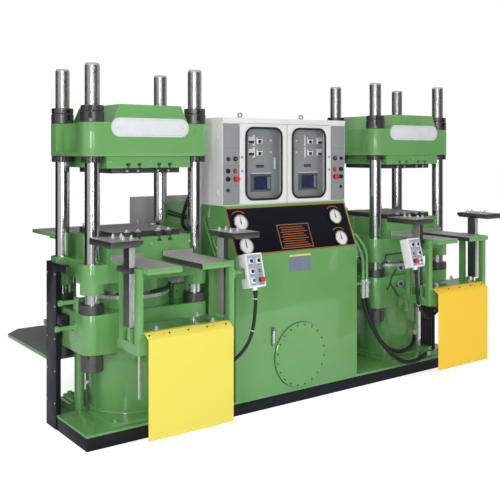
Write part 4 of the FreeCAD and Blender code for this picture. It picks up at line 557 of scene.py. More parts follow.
class Tray:
    """Small shapes gathered by finish. Each finish becomes one piece on the body,
    and the first of them stands for the replaced nodes.
    """

    def __init__(self, prefix, body="machine"):
        self.prefix = prefix
        self.body = body
        self.shapes = {}

    def add(self, finish, part, *turns):
        if finish not in self.shapes:
            self.shapes[finish] = bmesh.new()
        joined(self.shapes[finish], part, *turns)

    def keep(self, *replaced):
        for finish, bm in self.shapes.items():
            keep(bm, f"{self.prefix}_{finish}", finish, replaced, body=self.body)
            replaced = ()


slot_of = {entry["node"]: entry["material_slot"] for entry in frame["record"]["subparts"]}
for name, node in nodes.items():
    node.data.materials.clear()
    node.data.materials.append(FINISHES[slot_of[name]])


# Hoses and cables. The points are the same as their solids', in metres.

ROUTES = {
    "pressure_hose": (0.971, 0.03, [
        (0.571, -0.35, 0.669), (0.571, -0.35, 0.624), (0.590, -0.363, 0.523), (0.649, -0.381, 0.389),
        (0.727, -0.4, 0.273), (0.826, -0.418, 0.173), (0.933, -0.432, 0.112), (1.07, -0.431, 0.108),
        (1.159, -0.431, 0.143), (1.204, -0.431, 0.143)]),
    "return_hose": (0.957, 0.03, [
        (0.609, -0.35, 0.669), (0.609, -0.35, 0.624), (0.645, -0.347, 0.499), (0.705, -0.351, 0.338),
        (0.803, -0.359, 0.231), (0.925, -0.362, 0.178), (1.06, -0.348, 0.178), (1.155, -0.318, 0.21),
        (1.18, -0.3, 0.26), (1.18, -0.3, 0.305)]),
    "left_pendant_cable": (0.877, 0.022, [
        (-0.6985, -0.7259, 0.874), (-0.6985, -0.7376, 0.8306), (-0.69, -0.702, 0.65), (-0.722, -0.692, 0.545),
        (-0.8, -0.665, 0.455), (-0.9, -0.625, 0.402), (-1.0, -0.585, 0.396), (-1.085, -0.545, 0.425),
        (-1.11, -0.52, 0.47), (-1.11, -0.52, 0.515)]),
    "right_pendant_cable": (0.607, 0.022, [
        (0.7235, -0.7259, 0.874), (0.7235, -0.7376, 0.8306), (0.768, -0.702, 0.649), (0.821, -0.694, 0.554),
        (0.89, -0.692, 0.496), (0.95, -0.698, 0.52), (1.01, -0.707, 0.566), (1.055, -0.707, 0.566)]),
}


def lay_cords():
    for name, (length, diameter, points) in ROUTES.items():
        line = bpy.data.curves.new(name + "_run", "CURVE")
        line.dimensions = "3D"
        line.resolution_u = 12
        line.bevel_depth = diameter / 2
        line.bevel_resolution = 5
        line.use_fill_caps = True
        run = line.splines.new("NURBS")
        run.points.add(len(points) - 1)
        for point, place in zip(run.points, points):
            point.co = (*place, 1)
        run.order_u = 3
        run.use_endpoint_u = True
        line.materials.append(FINISHES["cable_rubber"])
        piece = bpy.data.objects.new(name + "_run", line)
        scene.collection.objects.link(piece)
        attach(piece, "machine")
        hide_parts(name)


lay_cords()


# Presses


THREAD_START = 1.99
THREAD_PITCH = 0.006


def column_profile():
    """Chromed bar whose top end is threaded above the crown."""
    profile = [(0, 0.416), (0.0435, 0.416), (0.045, 0.418), (0.045, THREAD_START), (0.0425, 1.993)]
    for number in range(40):
        rise = THREAD_START + THREAD_PITCH * (number + 1)
        profile += [(0.0439, rise), (0.0449, rise + 0.001), (0.0449, rise + 0.0046), (0.0439, rise + 0.0056)]
    return profile + [(0.0425, 2.241), (0.0365, 2.2495), (0.012, 2.25), (0.006, 2.246), (0, 2.246)]


def finish_columns():
    bm = bmesh.new()
    for side in BOTH:
        for x in (-COLUMN_X, COLUMN_X):
            for y in (-COLUMN_Y, COLUMN_Y):
                joined(bm, turned(column_profile(), 40), at(side * PRESS_X + x, y, 0))
    for face in bm.faces:
        face.material_index = 1 if face.calc_center_median().z > THREAD_START + 0.002 else 0
    keep(bm, "columns_with_threads", "hard_chrome", ("tie_columns",), ("thread_steel",))


def notched_ring(outer, inner, low, high, notches, depth=0.006, steps=32, reach=0.0):
    """Ring nut with spanner notches in its side, which start at a share of its height."""
    edge = 0.003
    split = low + edge + (high - low - 2 * edge) * max(reach, 0.001)
    bm = turned([(inner, low), (outer - edge, low), (outer, low + edge), (outer, split), (outer, high - edge),
                 (outer - edge, high), (inner, high)], steps, closed=True)
    band = [face for face in bm.faces if abs(face.normal.z) < 0.1 and face.calc_center_median().z > split
            and face.calc_center_median().xy.length > outer * 0.97]
    band.sort(key=lambda face: math.atan2(face.calc_center_median().y, face.calc_center_median().x))
    if notches:
        chosen = band[1::steps // notches]
        bmesh.ops.inset_individual(bm, faces=chosen, thickness=0.0006, depth=0)
        bmesh.ops.inset_individual(bm, faces=chosen, thickness=0.0003, depth=-depth)
        # The notch floors take the second finish, black, as painted shade in the recesses.
        for face in chosen:
            face.material_index = 1
    return bm


def finish_nuts():
    bm = bmesh.new()
    for side in BOTH:
        for number, (x, y) in enumerate(((-1, -1), (1, -1), (-1, 1), (1, 1))):
            spot = at(side * PRESS_X + x * COLUMN_X, y * COLUMN_Y, 0)
            turn = Matrix.Rotation(0.5 + number * 0.4, 4, "Z")
            joined(bm, notched_ring(0.071, 0.044, 1.897, 1.9605, 4, 0.007, 20, 0.3), spot, turn)
            joined(bm, notched_ring(0.069, 0.044, 1.9625, 1.997, 4, 0.008, 20), spot, turn)
            joined(bm, notched_ring(0.068, 0.045, 1.6535, 1.692, 20, 0.0025, 40), spot)
            joined(bm, notched_ring(0.073, 0.045, 0.753, 0.8085, 0), spot)
            joined(bm, notched_ring(0.067, 0.03, 0.412, 0.516, 4, 0.004, 32, 0.8), spot, turn)
            for level, radius in ((0.781, 0.0725), (1.672, 0.0675)):
                joined(bm, disc(0.009, -0.004, 0.0012, steps=16), spot, at(0, 0, level),
                       about("Z", -125 + 20 * number), at(radius, 0, 0), about("Y", 90))
    # needle_black on the notch floors is painted shade.
    keep(bm, "ring_nuts", "dark_steel", ("column_nuts",), ("needle_black",))


def ring_of(count, radius):
    """Offsets of screws spaced evenly round a middle."""
    turns = [2 * math.pi * (number + 0.5) / count for number in range(count)]
    return [(radius * math.cos(turn), radius * math.sin(turn)) for turn in turns]


def finish_press_bodies():
    for name in ("plinth", "press_beds", "crowns", "upper_bolsters"):
        dress_node(name, 0.0025)
    dress_node("deck_plate", 0.0015)
    dress_node("main_cylinders")
    dress_node("upper_hot_plates", 0.001)
    welds = bmesh.new()
    bolts = bmesh.new()
    foot_weld = [(0.2575, 0.112), (0.27, 0.112), (0.2685, 0.1175), (0.2645, 0.1225), (0.2575, 0.126)]
    barrel_seam = [(0.2575, 0.44), (0.2592, 0.4415), (0.2592, 0.4445), (0.2575, 0.446)]
    for side in BOTH:
        x = side * PRESS_X
        for profile in (foot_weld, barrel_seam):
            joined(welds, turned(profile, 64, closed=True), at(x, 0, 0))
        for across, along in ((-1, -1), (1, -1), (-1, 1), (1, 1)):
            spot = at(x + across * 0.262, along * 0.335, 0.1125)
            joined(welds, disc(0.028, 0, 0.006), spot)
            joined(welds, hexagon(0.017, 0.014), spot, at(0, 0, 0.006))
        for across, along in ring_of(12, 0.22):
            joined(bolts, socket_screw(0.011, 0.011), at(x + across, along, 0.8315))
    keep(welds, "cylinder_welds", "machine_green")
    keep(bolts, "gland_screws", "dark_steel")


def finish_name_plates():
    """Bare enamelled plates with rounded ends on the crowns' fronts."""
    for side, word in SIDES:
        spot = front(side * PRESS_X, CROWN_FRONT, 1.8675)
        face = placed(plate(0.538, 0.115, 0.0025, 0.057, 0.0008, 14), spot)
        keep(face, word + "_crown_plate", "plate_white")
        pins = placed(hoop(0.518, 0.095, 0.0006, 0.047, 0.0016, 12), spot, at(0, 0, 0.0024))
        for across in (-0.225, 0.225):
            joined(pins, disc(0.004, 0, 0.0016, 0.0006, 12), spot, at(across, 0, 0.0024))
        keep(pins, word + "_crown_plate_pins", "fitting_zinc")


CLAMPS_X = (-0.145, -0.069, 0.069, 0.145)


def finish_bolsters():
    """Screws in the slotted plates' fronts, and the clamps that hold the upper hot plates."""
    tray = Tray("upper_plate_clamps")
    for side in BOTH:
        x = side * PRESS_X
        for across in (-0.265, 0.006, 0.281):
            tray.add("fitting_zinc", socket_screw(0.006, 0.004), front(x + across, -0.2815, 1.659))
        for across in CLAMPS_X:
            spot = at(x + across, -0.238, 1.587)
            tray.add("dark_steel", slab((-0.013, -0.02, 0), (0.013, 0.001, 0.0318), 0.002), spot)
            tray.add("fitting_zinc", hexagon(0.0075, 0.006), spot, front(0, -0.02, 0.014))
    tray.keep()


def finish_press_tables():
    def platen_face(face):
        return 1 if face.normal.z > 0.9 and face.calc_center_median().z > PLATEN_TOP - 0.04 else 0

    for side, word in SIDES:
        x = side * PRESS_X
        body = word + "_press_table"
        dress_node(word + "_platen", 0.0025, also=("ground_steel",), pick=platen_face)
        dress_node(word + "_lower_hot_plate", 0.0012, also=("plate_top_steel",),
                   pick=lambda face: 1 if face.normal.z > 0.9 else 0)
        ram = placed(disc(0.172, 0.154, 0.858, 0.002, 72), at(x, 0, 0))
        for face in ram.faces:
            face.material_index = 1
        keep(ram, word + "_polished_ram", "hard_chrome", (word + "_ram",), ("ram_steel",), body)
        tray = Tray(word + "_lower_plate_clamps", body)
        for across in CLAMPS_X:
            spot = at(x + across, -0.2375, PLATEN_TOP)
            tray.add("dark_steel", slab((-0.016, -0.034, 0), (0.016, 0, 0.03), 0.002), spot)
            tray.add("fitting_zinc", slab((-0.02, -0.022, 0.03), (0.02, -0.01, 0.038), 0.002), spot)
            tray.add("fitting_zinc", hexagon(0.0085, 0.011), spot, at(0, -0.016, 0.038))
        tray.keep()
        screws = bmesh.new()
        for across in (0.01, 0.285 if side < 0 else 0.27):
            joined(screws, socket_screw(0.009, 0.006), front(x + across, -0.2815, 1.15))
        for across in (-0.2, 0.2):
            spot = at(x + across, 0.262, PLATEN_TOP)
            joined(screws, hexagon(0.0105, 0.012), spot)
            joined(screws, disc(0.006, 0.012, 0.055, steps=14), spot)
        keep(screws, word + "_platen_screws", "fitting_zinc", body=body)


finish_columns()
finish_nuts()
finish_press_bodies()
finish_name_plates()
finish_bolsters()
finish_press_tables()


# Front frames


def finish_front_frames():
    def table_face(face):
        """Steel on top and on the lips at the press, dark steel on the edges between the two tables."""
        middle = face.calc_center_median()
        if face.normal.z > 0.9 or (face.normal.y < -0.9 and middle.y > -0.5):
            return 1
        press = -PRESS_X if middle.x < 0 else PRESS_X
        return 2 if abs(face.normal.x) > 0.9 and abs(middle.x - press) < 0.1 else 0

    dress_node("front_frames")
    dress_node("work_tables", also=("ground_steel", "dark_steel"), pick=table_face)
    dress_node("front_guards", 0.0006, steps=1, also=("guard_gold",),
               pick=lambda face: 1 if face.calc_center_median().x > 0 else 0)
    dress_node("lift_guides", 0.0015)
    rods, bolts, screws, marks = (bmesh.new() for _ in range(4))
    fold = about("X", 62)
    rod = [(0, 0.2855), (0.008, 0.2855), (0.0094, 0.2875), (0.0094, 0.5965), (0, 0.5965)]
    for side in BOTH:
        x = side * PRESS_X
        for across in (-0.198, 0.198):
            joined(rods, turned(rod, 20), at(x + across, -0.52, 0))
        for across, along in ((-0.174, -0.677), (0.205, -0.677), (0.215, -0.49)):
            spot = at(x + across, along, 0.7168)
            joined(bolts, disc(0.017, 0, 0.003), spot)
            joined(bolts, hexagon(0.0135, 0.012), spot, at(0, 0, 0.003))
            joined(bolts, disc(0.007, 0.012, 0.021, steps=12), spot)
        for across in (-0.262, -0.135, -0.012, 0.115, 0.245):
            joined(screws, socket_screw(0.0055, 0.004), at(x + across, -0.7562, 0.7072), fold)
        for across in (-0.17, 0.158):
            spot = at(x + across, -0.766, 0.7005) @ fold @ about("Z", 24)
            joined(marks, plate(0.011, 0.036, 0.0012, 0.0054), spot)
    keep(rods, "guide_rods", "hard_chrome")
    keep(bolts, "shelf_bolts", "fitting_zinc")
    keep(screws, "guard_screws", "needle_black")
    keep(marks, "guard_slots", "mark_orange")


PAD_X = 0.298
PAD_LENGTH = 0.194
PAD_FOOT = 1.199
PAD_TOP = 1.236
BAR_WIDTH = 0.034
STUD = [(0, 0), (0.0135, 0), (0.0135, 0.003), (0.0105, 0.005), (0.0105, 0.013), (0.0065, 0.0145),
        (0.0065, 0.023), (0, 0.0235)]


def finish_lifts():
    """Ground bars with support pads, each pad with four studs on it. Below the pad, the bar's faces that
    catch the light take a brighter steel than the rest, as painted light.
    """
    for side, word in SIDES:
        for hand in BOTH:
            outer = hand == side
            name = f"{word}_{'outer' if outer else 'inner'}_lift"
            near, far, bar = (side * PRESS_X + hand * (PAD_X + step) for step in (0, PAD_LENGTH, BAR_WIDTH))
            pad = slab((min(near, far), -0.7595, PAD_FOOT), (max(near, far), -0.4795, PAD_TOP))
            slope = [edge for edge in pad.edges if all(abs(vert.co.x - near) < CAD_DOUBLES
                                                       and vert.co.z < PAD_FOOT + 0.001
                                                       for vert in edge.verts)]
            soften(pad, slope, 0.022, 1)
            bm = slab((min(near, bar), -0.656, 0.74), (max(near, bar), -0.583, PAD_FOOT + 0.001))
            joined(bm, pad)
            soften(bm, bm.edges, 0.0016)
            for face in bm.faces:
                if face.normal.z > 0.9:
                    face.material_index = 1
                elif face.calc_center_median().z < PAD_FOOT - 0.001:
                    # Painted light: the face lit in the view takes a brighter steel, and the other faces stay
                    # dark steel.
                    bright = face.normal.y < -0.9 if outer else abs(face.normal.x) > 0.9
                    face.material_index = (2 if outer else 1) if bright else 0
            keep(bm, name + "_finished", "dark_steel", (name,), ("ground_steel", "ram_steel"), name)
            studs = bmesh.new()
            for across in (0.333, 0.383):
                for along in (-0.68, -0.555):
                    joined(studs, turned(STUD, 18), at(side * PRESS_X + hand * across, along, PAD_TOP))
            keep(studs, name + "_studs", "fitting_zinc", body=name)


finish_front_frames()
finish_lifts()


# Tank, console and gauges

# The slope's own frame: its lower edge on the tank's front, with the gauges' places on it
CONSOLE = at(CABINET_X, TANK_FRONT, 1.037) @ Matrix.Rotation(math.atan2(0.307, 0.132), 4, "X")


def finish_tank():
    dress_node("oil_tank", 0.003)
    middle = front(TANK_X, TANK_FRONT, 0.323)
    lid = placed(turned([(0, 0.0152), (0.219, 0.0152), (0.222, 0.0122), (0.222, 0), (0, 0)], 96), middle)
    keep(lid, "bolted_tank_cover", "machine_green", ("tank_cover",))
    bolts = bmesh.new()
    for across, up in ring_of(20, 0.206):
        joined(bolts, socket_screw(0.0062, 0.003), middle, at(across, up, 0.015))
    keep(bolts, "tank_cover_bolts", "dark_steel")
    # Thin black ring round the lid's edge: a painted shadow line along its rim.
    shadow_ring = placed(tube_ring(0.2243, 0.2215, 0, 0.002, 0.0005, 96), middle)
    keep(shadow_ring, "tank_cover_shadow_ring", "knob_black")
    sheet = bmesh.new()
    for across in (-0.048, 0.048):
        joined(sheet, plate(0.094, 0.113, 0.0012, 0.003, 0.0004), front(TANK_X + across, TANK_FRONT, 0.9545))
    keep(sheet, "blank_data_plate", "plate_silver")
    band = placed(plate(0.192, 0.011, 0.0018, 0.001, 0.0003, 2), front(TANK_X, TANK_FRONT, 1.0065))
    keep(band, "data_plate_band", "guard_yellow")
    seams = placed(slab((-0.614, -0.3965, 0.1), (LEFT_WALL, -0.392, 1.03), 0.001))
    for level in (1.34, 1.274, 1.2):
        joined(seams, slab((-0.615, -0.16, level - 0.003), (LEFT_WALL, 0.5, level + 0.003), 0.001))
    keep(seams, "tank_side_seams", "machine_green")


GAUGES = [(x, up) for x in (-0.436, 0.404) for up in (0.226, 0.0625)]
ARC = [(0.078, 0), (0.083, 0), (0.083, 0.0006), (0.078, 0.0006)]


def finish_console():
    """Dark sheet with orange rules, arcs over the gauges and a framed block of plain lines."""
    sheet = placed(plate(1.059, 0.328, 0.003, 0.002, 0.0004, 2), CONSOLE, at(0.001, 0.167, 0))
    keep(sheet, "console_sheet", "panel_black", ("console_panel",))
    rim = placed(hoop(0.285, 0.174, 0.0006, 0.002, 0.0075, 1), CONSOLE, at(-0.003, 0.108, 0.003))
    keep(rim, "console_table_frame", "frame_brass")
    lines = placed(hoop(1.057, 0.326, 0.0008, 0.002, 0.0048, 1), CONSOLE, at(0.001, 0.167, 0.003))
    for row in range(9):
        low = (-0.122 + 0.012 * (row % 2), 0.038 + row * 0.0165, 0.003)
        high = (0.114 - 0.017 * (row % 3), low[1] + 0.0045, 0.0034)
        joined(lines, slab(low, high), CONSOLE)
    for x, up in GAUGES:
        if x < 0 and up < 0.1:
            continue
        arc = turned(ARC, 72, closed=True)
        away = [vert for vert in arc.verts
                if abs(math.atan2(vert.co.y, vert.co.x) - math.pi / 2) > math.radians(42)]
        bmesh.ops.delete(arc, geom=away, context="VERTS")
        bmesh.ops.holes_fill(arc, edges=[edge for edge in arc.edges if edge.is_boundary])
        joined(lines, arc, CONSOLE, at(x, up, 0.003))
    keep(lines, "console_lines", "trim_orange")


CASE = [(0, 0), (0.055, 0), (0.057, 0.002), (0.057, 0.0115), (0.0545, 0.014), (0.0525, 0.0138),
        (0.051, 0.0115), (0.0505, 0.0078), (0, 0.0078)]


def finish_gauges():
    steel, dials, marks = (bmesh.new() for _ in range(3))
    for x, up in GAUGES:
        spot = CONSOLE @ at(x, up, 0.003)
        joined(steel, turned(CASE, 56), spot)
        joined(steel, disc(0.0032, 0.0078, 0.0108, 0.0005, 16), spot)
        joined(dials, disc(0.0508, 0.0074, 0.0083, 0.0001, 56), spot)
        for number in range(51):
            inner, half = (0.0395, 0.0006) if number % 5 == 0 else (0.043, 0.0003)
            tick = slab((inner, -half, 0.0083), (0.0465, half, 0.0086))
            joined(marks, tick, spot, about("Z", 225 - 270 * number / 50))
        joined(marks, tube_ring(0.048, 0.0475, 0.0083, 0.0086, 0.0001, 56), spot)
    joined(steel, slab((-0.3245, -0.411, 0.414), (-0.2975, TANK_FRONT, 0.538), 0.003))
    for height in (0.424, 0.528):
        joined(steel, disc(0.008, 0, 0.003, steps=16), front(-0.311, -0.411, height))
    keep(steel, "gauge_cases", "gauge_steel", ("gauges",))
    keep(dials, "gauge_dials", "dial_white")
    keep(marks, "gauge_scales", "needle_black")
    # The sight glass takes the glowing clear_lens, so its faint glow is painted light; the tube gives none.
    tube = placed(plate(0.012, 0.085, 0.0015, 0.004), front(-0.311, -0.411, 0.476))
    keep(tube, "level_gauge_tube", "clear_lens")
    for word in ("left", "right"):
        for level in ("upper", "lower"):
            dress_node(f"{word}_{level}_gauge_needle", 0.0004, steps=1)


finish_tank()
finish_console()
finish_gauges()


# Control cabinet


def finish_cabinet():
    def cabinet_face(face):
        """Eye bolts on the roof are zinc, and both end walls take a lighter white than the front, which is
        painted light that lifts their shade.
        """
        if face.calc_center_median().z > 1.9485:
            return 1
        return 2 if abs(face.normal.x) > 0.9 else 0

    dress_node("control_cabinet", 0.003, also=("fitting_zinc", "side_white"), pick=cabinet_face)
    tray = Tray("cabinet")
    for level in (1.833, 1.445):
        spot = left(-0.626, -0.198, level)
        tray.add("side_white", plate(0.021, 0.046, 0.003, 0.002, 0.0008), spot)
        for up in (-0.014, 0.014):
            tray.add("fitting_zinc", socket_screw(0.003, 0.0015), spot, at(0, up, 0.003))
    back = behind(CABINET_X, 0.09, 1.653)
    tray.add("cabinet_grey", plate(1.03, 0.53, 0.002, 0.008, 0.0008), back)
    for across in (-0.5, -0.25, 0, 0.25, 0.5):
        for up in (-0.25, 0.25):
            tray.add("fitting_zinc", socket_screw(0.005, 0.003), back, at(across, up, 0.002))
    tray.keep()
    for side, word in SIDES:
        body = word + "_cabinet_door"
        dress_node(body, 0.0022)
        dress_node(word + "_door_window", 0.0008, steps=1)
        tray = Tray(word + "_door", body)
        gasket = hoop(0.32, 0.504, 0.006, 0.067, 0.015, 10)
        soften(gasket, rim_at(gasket, 0.006), 0.002)
        tray.add("cable_rubber", gasket, front(CABINET_X + side * DOOR_X, -0.2617, 1.637))
        for level in (1.589, 1.68):
            spot = at(CABINET_X + side * 0.39, -0.266, level)
            tray.add("fitting_zinc", disc(0.0095, 0, 0.0025), spot, FACING)
            tray.add("needle_black", slab((-0.0065, -0.001, 0.0024), (0.0065, 0.001, 0.0028)), spot, FACING)
        tray.keep()


def meter(tray, spot, side):
    """Panel meter: white scale over a black foot, with its pointer."""
    tray.add("plate_white", plate(0.048, 0.048, 0.0095, 0.0025, 0.001), spot)
    foot = -0.0225 if side < 0 else -0.013
    tray.add("knob_black", slab((foot, -0.0225, 0.009), (0.0225, -0.0035, 0.0105), 0.0006, 1), spot)
    axle = spot @ at(0, -0.004, 0)
    for number in range(9):
        tick = slab((0.02, -0.0003, 0.0092), (0.0235, 0.0003, 0.0098))
        tray.add("needle_black", tick, axle, about("Z", 135 - 90 * number / 8))
    tray.add("needle_black", slab((0.006, -0.0003, 0.0092), (0.019, 0.0003, 0.0101)), axle, about("Z", 118))


def controller(tray, spot):
    """Temperature controller with a dark display over its square knob."""
    tray.add("side_white", plate(0.046, 0.046, 0.0075, 0.003, 0.001), spot)
    tray.add("screen_bezel", slab((-0.0205, 0.0105, 0.007), (0.0205, 0.0212, 0.0084), 0.0005, 1), spot)
    tray.add("needle_black", slab((-0.0125, -0.021, 0.007), (0.0125, 0.0035, 0.013), 0.002), spot)
    tray.add("instrument_grey", slab((-0.0008, -0.0195, 0.0128), (0.0008, -0.009, 0.0134)), spot)


def touch_screen(tray, spot):
    tray.add("screen_bezel", plate(0.173, 0.126, 0.008, 0.004, 0.0015), spot)
    # White bar along the bezel's top edge: painted highlight where light catches that edge.
    tray.add("side_white", slab((-0.087, 0.0632, 0), (0.087, 0.0672, 0.0085), 0.0008, 1), spot)
    tray.add("needle_black", slab((-0.066, -0.05, 0.007), (0.079, 0.047, 0.0088), 0.0006, 1), spot)
    tray.add("screen_blue", slab((-0.052, -0.041, 0.008), (0.047, 0.038, 0.0092)), spot)
    tray.add("instrument_grey", slab((0.053, -0.043, 0.008), (0.0735, 0.041, 0.0092), 0.0004, 1), spot)
    for row in range(6):
        key = plate(0.012, 0.008, 0.0008, 0.0015)
        tray.add("screen_bezel", key, spot, at(0.0632, -0.035 + row * 0.014, 0.0091))
    for x in (-0.079, 0.079):
        for y in (-0.056, 0.056):
            tray.add("needle_black", disc(0.0025, 0.0078, 0.0084, 0.0002, 12), spot, at(x, y, 0))


def lamp(tray, spot, finish, radius=0.0068, height=0.012):
    tray.add("fitting_zinc", tube_ring(radius + 0.0028, radius, 0, height * 0.4), spot)
    tray.add(finish, turned([(0, 0), (radius, 0), (radius, height * 0.7), (radius * 0.72, height * 0.93),
                             (radius * 0.3, height), (0, height)], 20), spot)


# Places across each door's panel, from its middle: meters, controllers, amber and clear lamps,
# counter, screen and label strip, and that strip's width
PANELS = {
    -1: (-0.072, 0.001, 0.063, 0.101, 0.009, 0.014, -0.046, 0.016),
    1: (0.142, 0.055, -0.010, -0.073, 0.033, 0.036, 0.008, 0.012),
}


def finish_door_panel(tray, side):
    """Instruments on the grey panel behind one door's window."""
    meter_x, controller_x, amber_x, white_x, counter_x, screen_x, strip_x, strip_width = PANELS[side]

    def spot(across, level):
        return front(CABINET_X + side * DOOR_X + across, PANEL_FRONT, level)

    middle = spot(0, 1.637)
    tray.add("instrument_grey", slab((-0.1837, -0.2577, -0.0037), (0.1837, 0.2577, 0), 0.0012), middle)
    for level in (1.798, 1.715):
        meter(tray, spot(meter_x, level), side)
        controller(tray, spot(controller_x, level))
        lamp(tray, spot(amber_x, level), "amber_lens")
        lamp(tray, spot(white_x, level), "clear_lens")
        tray.add("plate_white", plate(strip_width, 0.074, 0.003, 0.001, 0.0004), spot(strip_x, level))
    counter = spot(counter_x, 1.618)
    tray.add("needle_black", plate(0.064, 0.018, 0.005, 0.002, 0.0008), counter)
    for number in range(6):
        wheel = plate(0.0062, 0.0085, 0.0006, 0.0008)
        tray.add("screen_bezel", wheel, counter, at(-0.02 + number * 0.008, 0, 0.0046))
    touch_screen(tray, spot(screen_x, 1.504))
    for across in (-0.172, 0.172):
        for up in (-0.246, 0.246):
            tray.add("fitting_zinc", socket_screw(0.0045, 0.0025), middle, at(across, up, 0))


LOCK = [(0, 0.0095), (0.009, 0.0095), (0.0095, 0.0115), (0.0135, 0.012), (0.0148, 0.0105), (0.0148, 0.001),
        (0.0165, 0), (0, 0)]
RED_BUTTON = [(0, 0), (0.0118, 0), (0.0118, 0.009), (0.0095, 0.0115), (0.005, 0.0128), (0, 0.013)]


def finish_strip(tray, side):
    """Switches on the grey strip at one end of the cabinet."""
    middle = front(CABINET_X + side * STRIP_X, STRIP_FRONT, 1.358)
    tray.add("instrument_grey", slab((-0.066, 0.005, -0.0025), (0.066, 0.55, 0), 0.0006), middle)
    # Thin dark lines: three across where the strip's parts meet, and two upright at its ends that are painted
    # shade of the recess round it.
    seams = [((-0.0645, up), (0.0645, up + 0.0012)) for up in (0.385, 0.271, 0.132)]
    seams += [((end, 0.008), (end + 0.001, 0.547)) for end in (-0.0648, 0.0638)]
    for low, high in seams:
        tray.add("screen_bezel", slab((*low, -0.0001), (*high, 0.0005)), middle)

    def spot(column, up):
        return middle @ at(side * column * 0.03, up, 0)

    for column, up in ((-1, 0.313), (1, 0.232), (1, 0.178)):
        tray.add("knob_black", turned(LOCK), spot(column, up))
    key, hole, lit, stop = spot(-1, 0.313), spot(1, 0.104), spot(-1, 0.232), spot(-1, 0.178)
    tray.add("fitting_zinc", disc(0.005, 0.0092, 0.0102, 0.0004, 20), key)
    tray.add("needle_black", slab((-0.0007, -0.0032, 0.01), (0.0007, 0.0032, 0.0106)), key)
    tray.add("knob_black", disc(0.0115, 0, 0.01, 0.0015, 28), hole)
    tray.add("screen_bezel", tube_ring(0.0085, 0.006, 0.0095, 0.0105, 0.0003, 28), hole)
    tray.add("knob_black", tube_ring(0.0152, 0.0115, 0, 0.005), lit)
    tray.add("stop_red", turned(RED_BUTTON, 28), lit)
    tray.add("fitting_zinc", tube_ring(0.0182, 0.0128, 0, 0.0025), stop)
    tray.add("knob_black", tube_ring(0.0168, 0.0125, 0.002, 0.008), stop)
    tray.add("fitting_zinc", tube_ring(0.0172, 0.0144, 0, 0.0022), spot(1, 0.313))
    for up in (0.012, 0.538):
        for column in (-1.9, 1.9):
            tray.add("fitting_zinc", socket_screw(0.003, 0.0018), spot(column, up))


def finish_instruments():
    tray = Tray("instruments")
    for side in BOTH:
        finish_door_panel(tray, side)
    strip = front(CABINET_X - 0.066, PANEL_FRONT, 1.638)
    tray.add("plate_white", plate(0.017, 0.08, 0.002, 0.001), strip)
    for row in range(6):
        tray.add("screen_bezel", plate(0.005, 0.005, 0.0015, 0.001), strip, at(0.022, -0.03 + row * 0.013, 0))
    for side in BOTH:
        finish_strip(tray, side)
    tray.keep("instrument_panels")


KNOB = [(0, 0), (0.0139, 0), (0.0139, 0.0025), (0.0128, 0.0125), (0.0112, 0.014), (0, 0.014)]
MUSHROOM = [(0, 0), (0.0116, 0), (0.0116, 0.0145), (0.0175, 0.0162), (0.0197, 0.0182), (0.02, 0.0215),
            (0.019, 0.0256), (0.0158, 0.0288), (0.0095, 0.0306), (0, 0.031)]


def selector(name, spot, share, grip):
    """Turning knob with a grip bar, as large as a share of the cabinet's."""
    tray = Tray(name, name)
    size = Matrix.Scale(share, 4)
    tray.add("knob_black", turned(KNOB, 36), spot, size)
    tray.add(grip, slab((-0.0035, -0.0136, 0.012), (0.0035, 0.0136, 0.022), 0.0014), spot, size)
    tray.add("dial_white", slab((-0.0006, 0.004, 0.0218), (0.0006, 0.0128, 0.0223)), spot, size)
    tray.keep(name)


def mushroom(name, spot, share):
    """Emergency stop head, as large as a share of the cabinet's."""
    tray = Tray(name, name)
    tray.add("stop_red", turned(MUSHROOM, 40), spot, Matrix.Scale(share, 4))
    tray.keep(name)


def finish_cabinet_controls():
    for side, word in SIDES:
        middle = CABINET_X + side * STRIP_X
        selector(word + "_cabinet_selector", front(middle + side * 0.03, -0.2643, 1.671), 1, "gauge_steel")
        mushroom(word + "_cabinet_stop", front(middle - side * 0.03, -0.269, 1.536), 1)


finish_cabinet()
finish_instruments()
finish_cabinet_controls()


# Pendant boxes

PENDANT_TILT = 15
PENDANTS = {word: at(x, -0.757, 0.901) @ about("X", 90 - PENDANT_TILT)
            for word, x in (("left", -0.6985), ("right", 0.7235))}


def strain_relief():
    """Ribbed, tapered rubber sleeve round the cable."""
    profile = [(0.0112, 0), (0.0168, 0), (0.0168, 0.005), (0.0152, 0.006)]
    for number in range(4):
        rise = 0.0075 + number * 0.0042
        wide = 0.0154 - number * 0.0005
        profile += [(wide, rise), (wide, rise + 0.002), (wide - 0.0012, rise + 0.0026),
                    (wide - 0.0012, rise + 0.0036)]
    return turned(profile + [(0.0122, 0.026), (0.0112, 0.026)], 28, closed=True)


START_CAP = [(0, 0), (0.0109, 0), (0.0109, 0.0085), (0.0098, 0.0105), (0.0085, 0.0108), (0.007, 0.0101),
             (0, 0.0099)]
PENDANT_ROWS = (0.158, 0.096, 0.041)


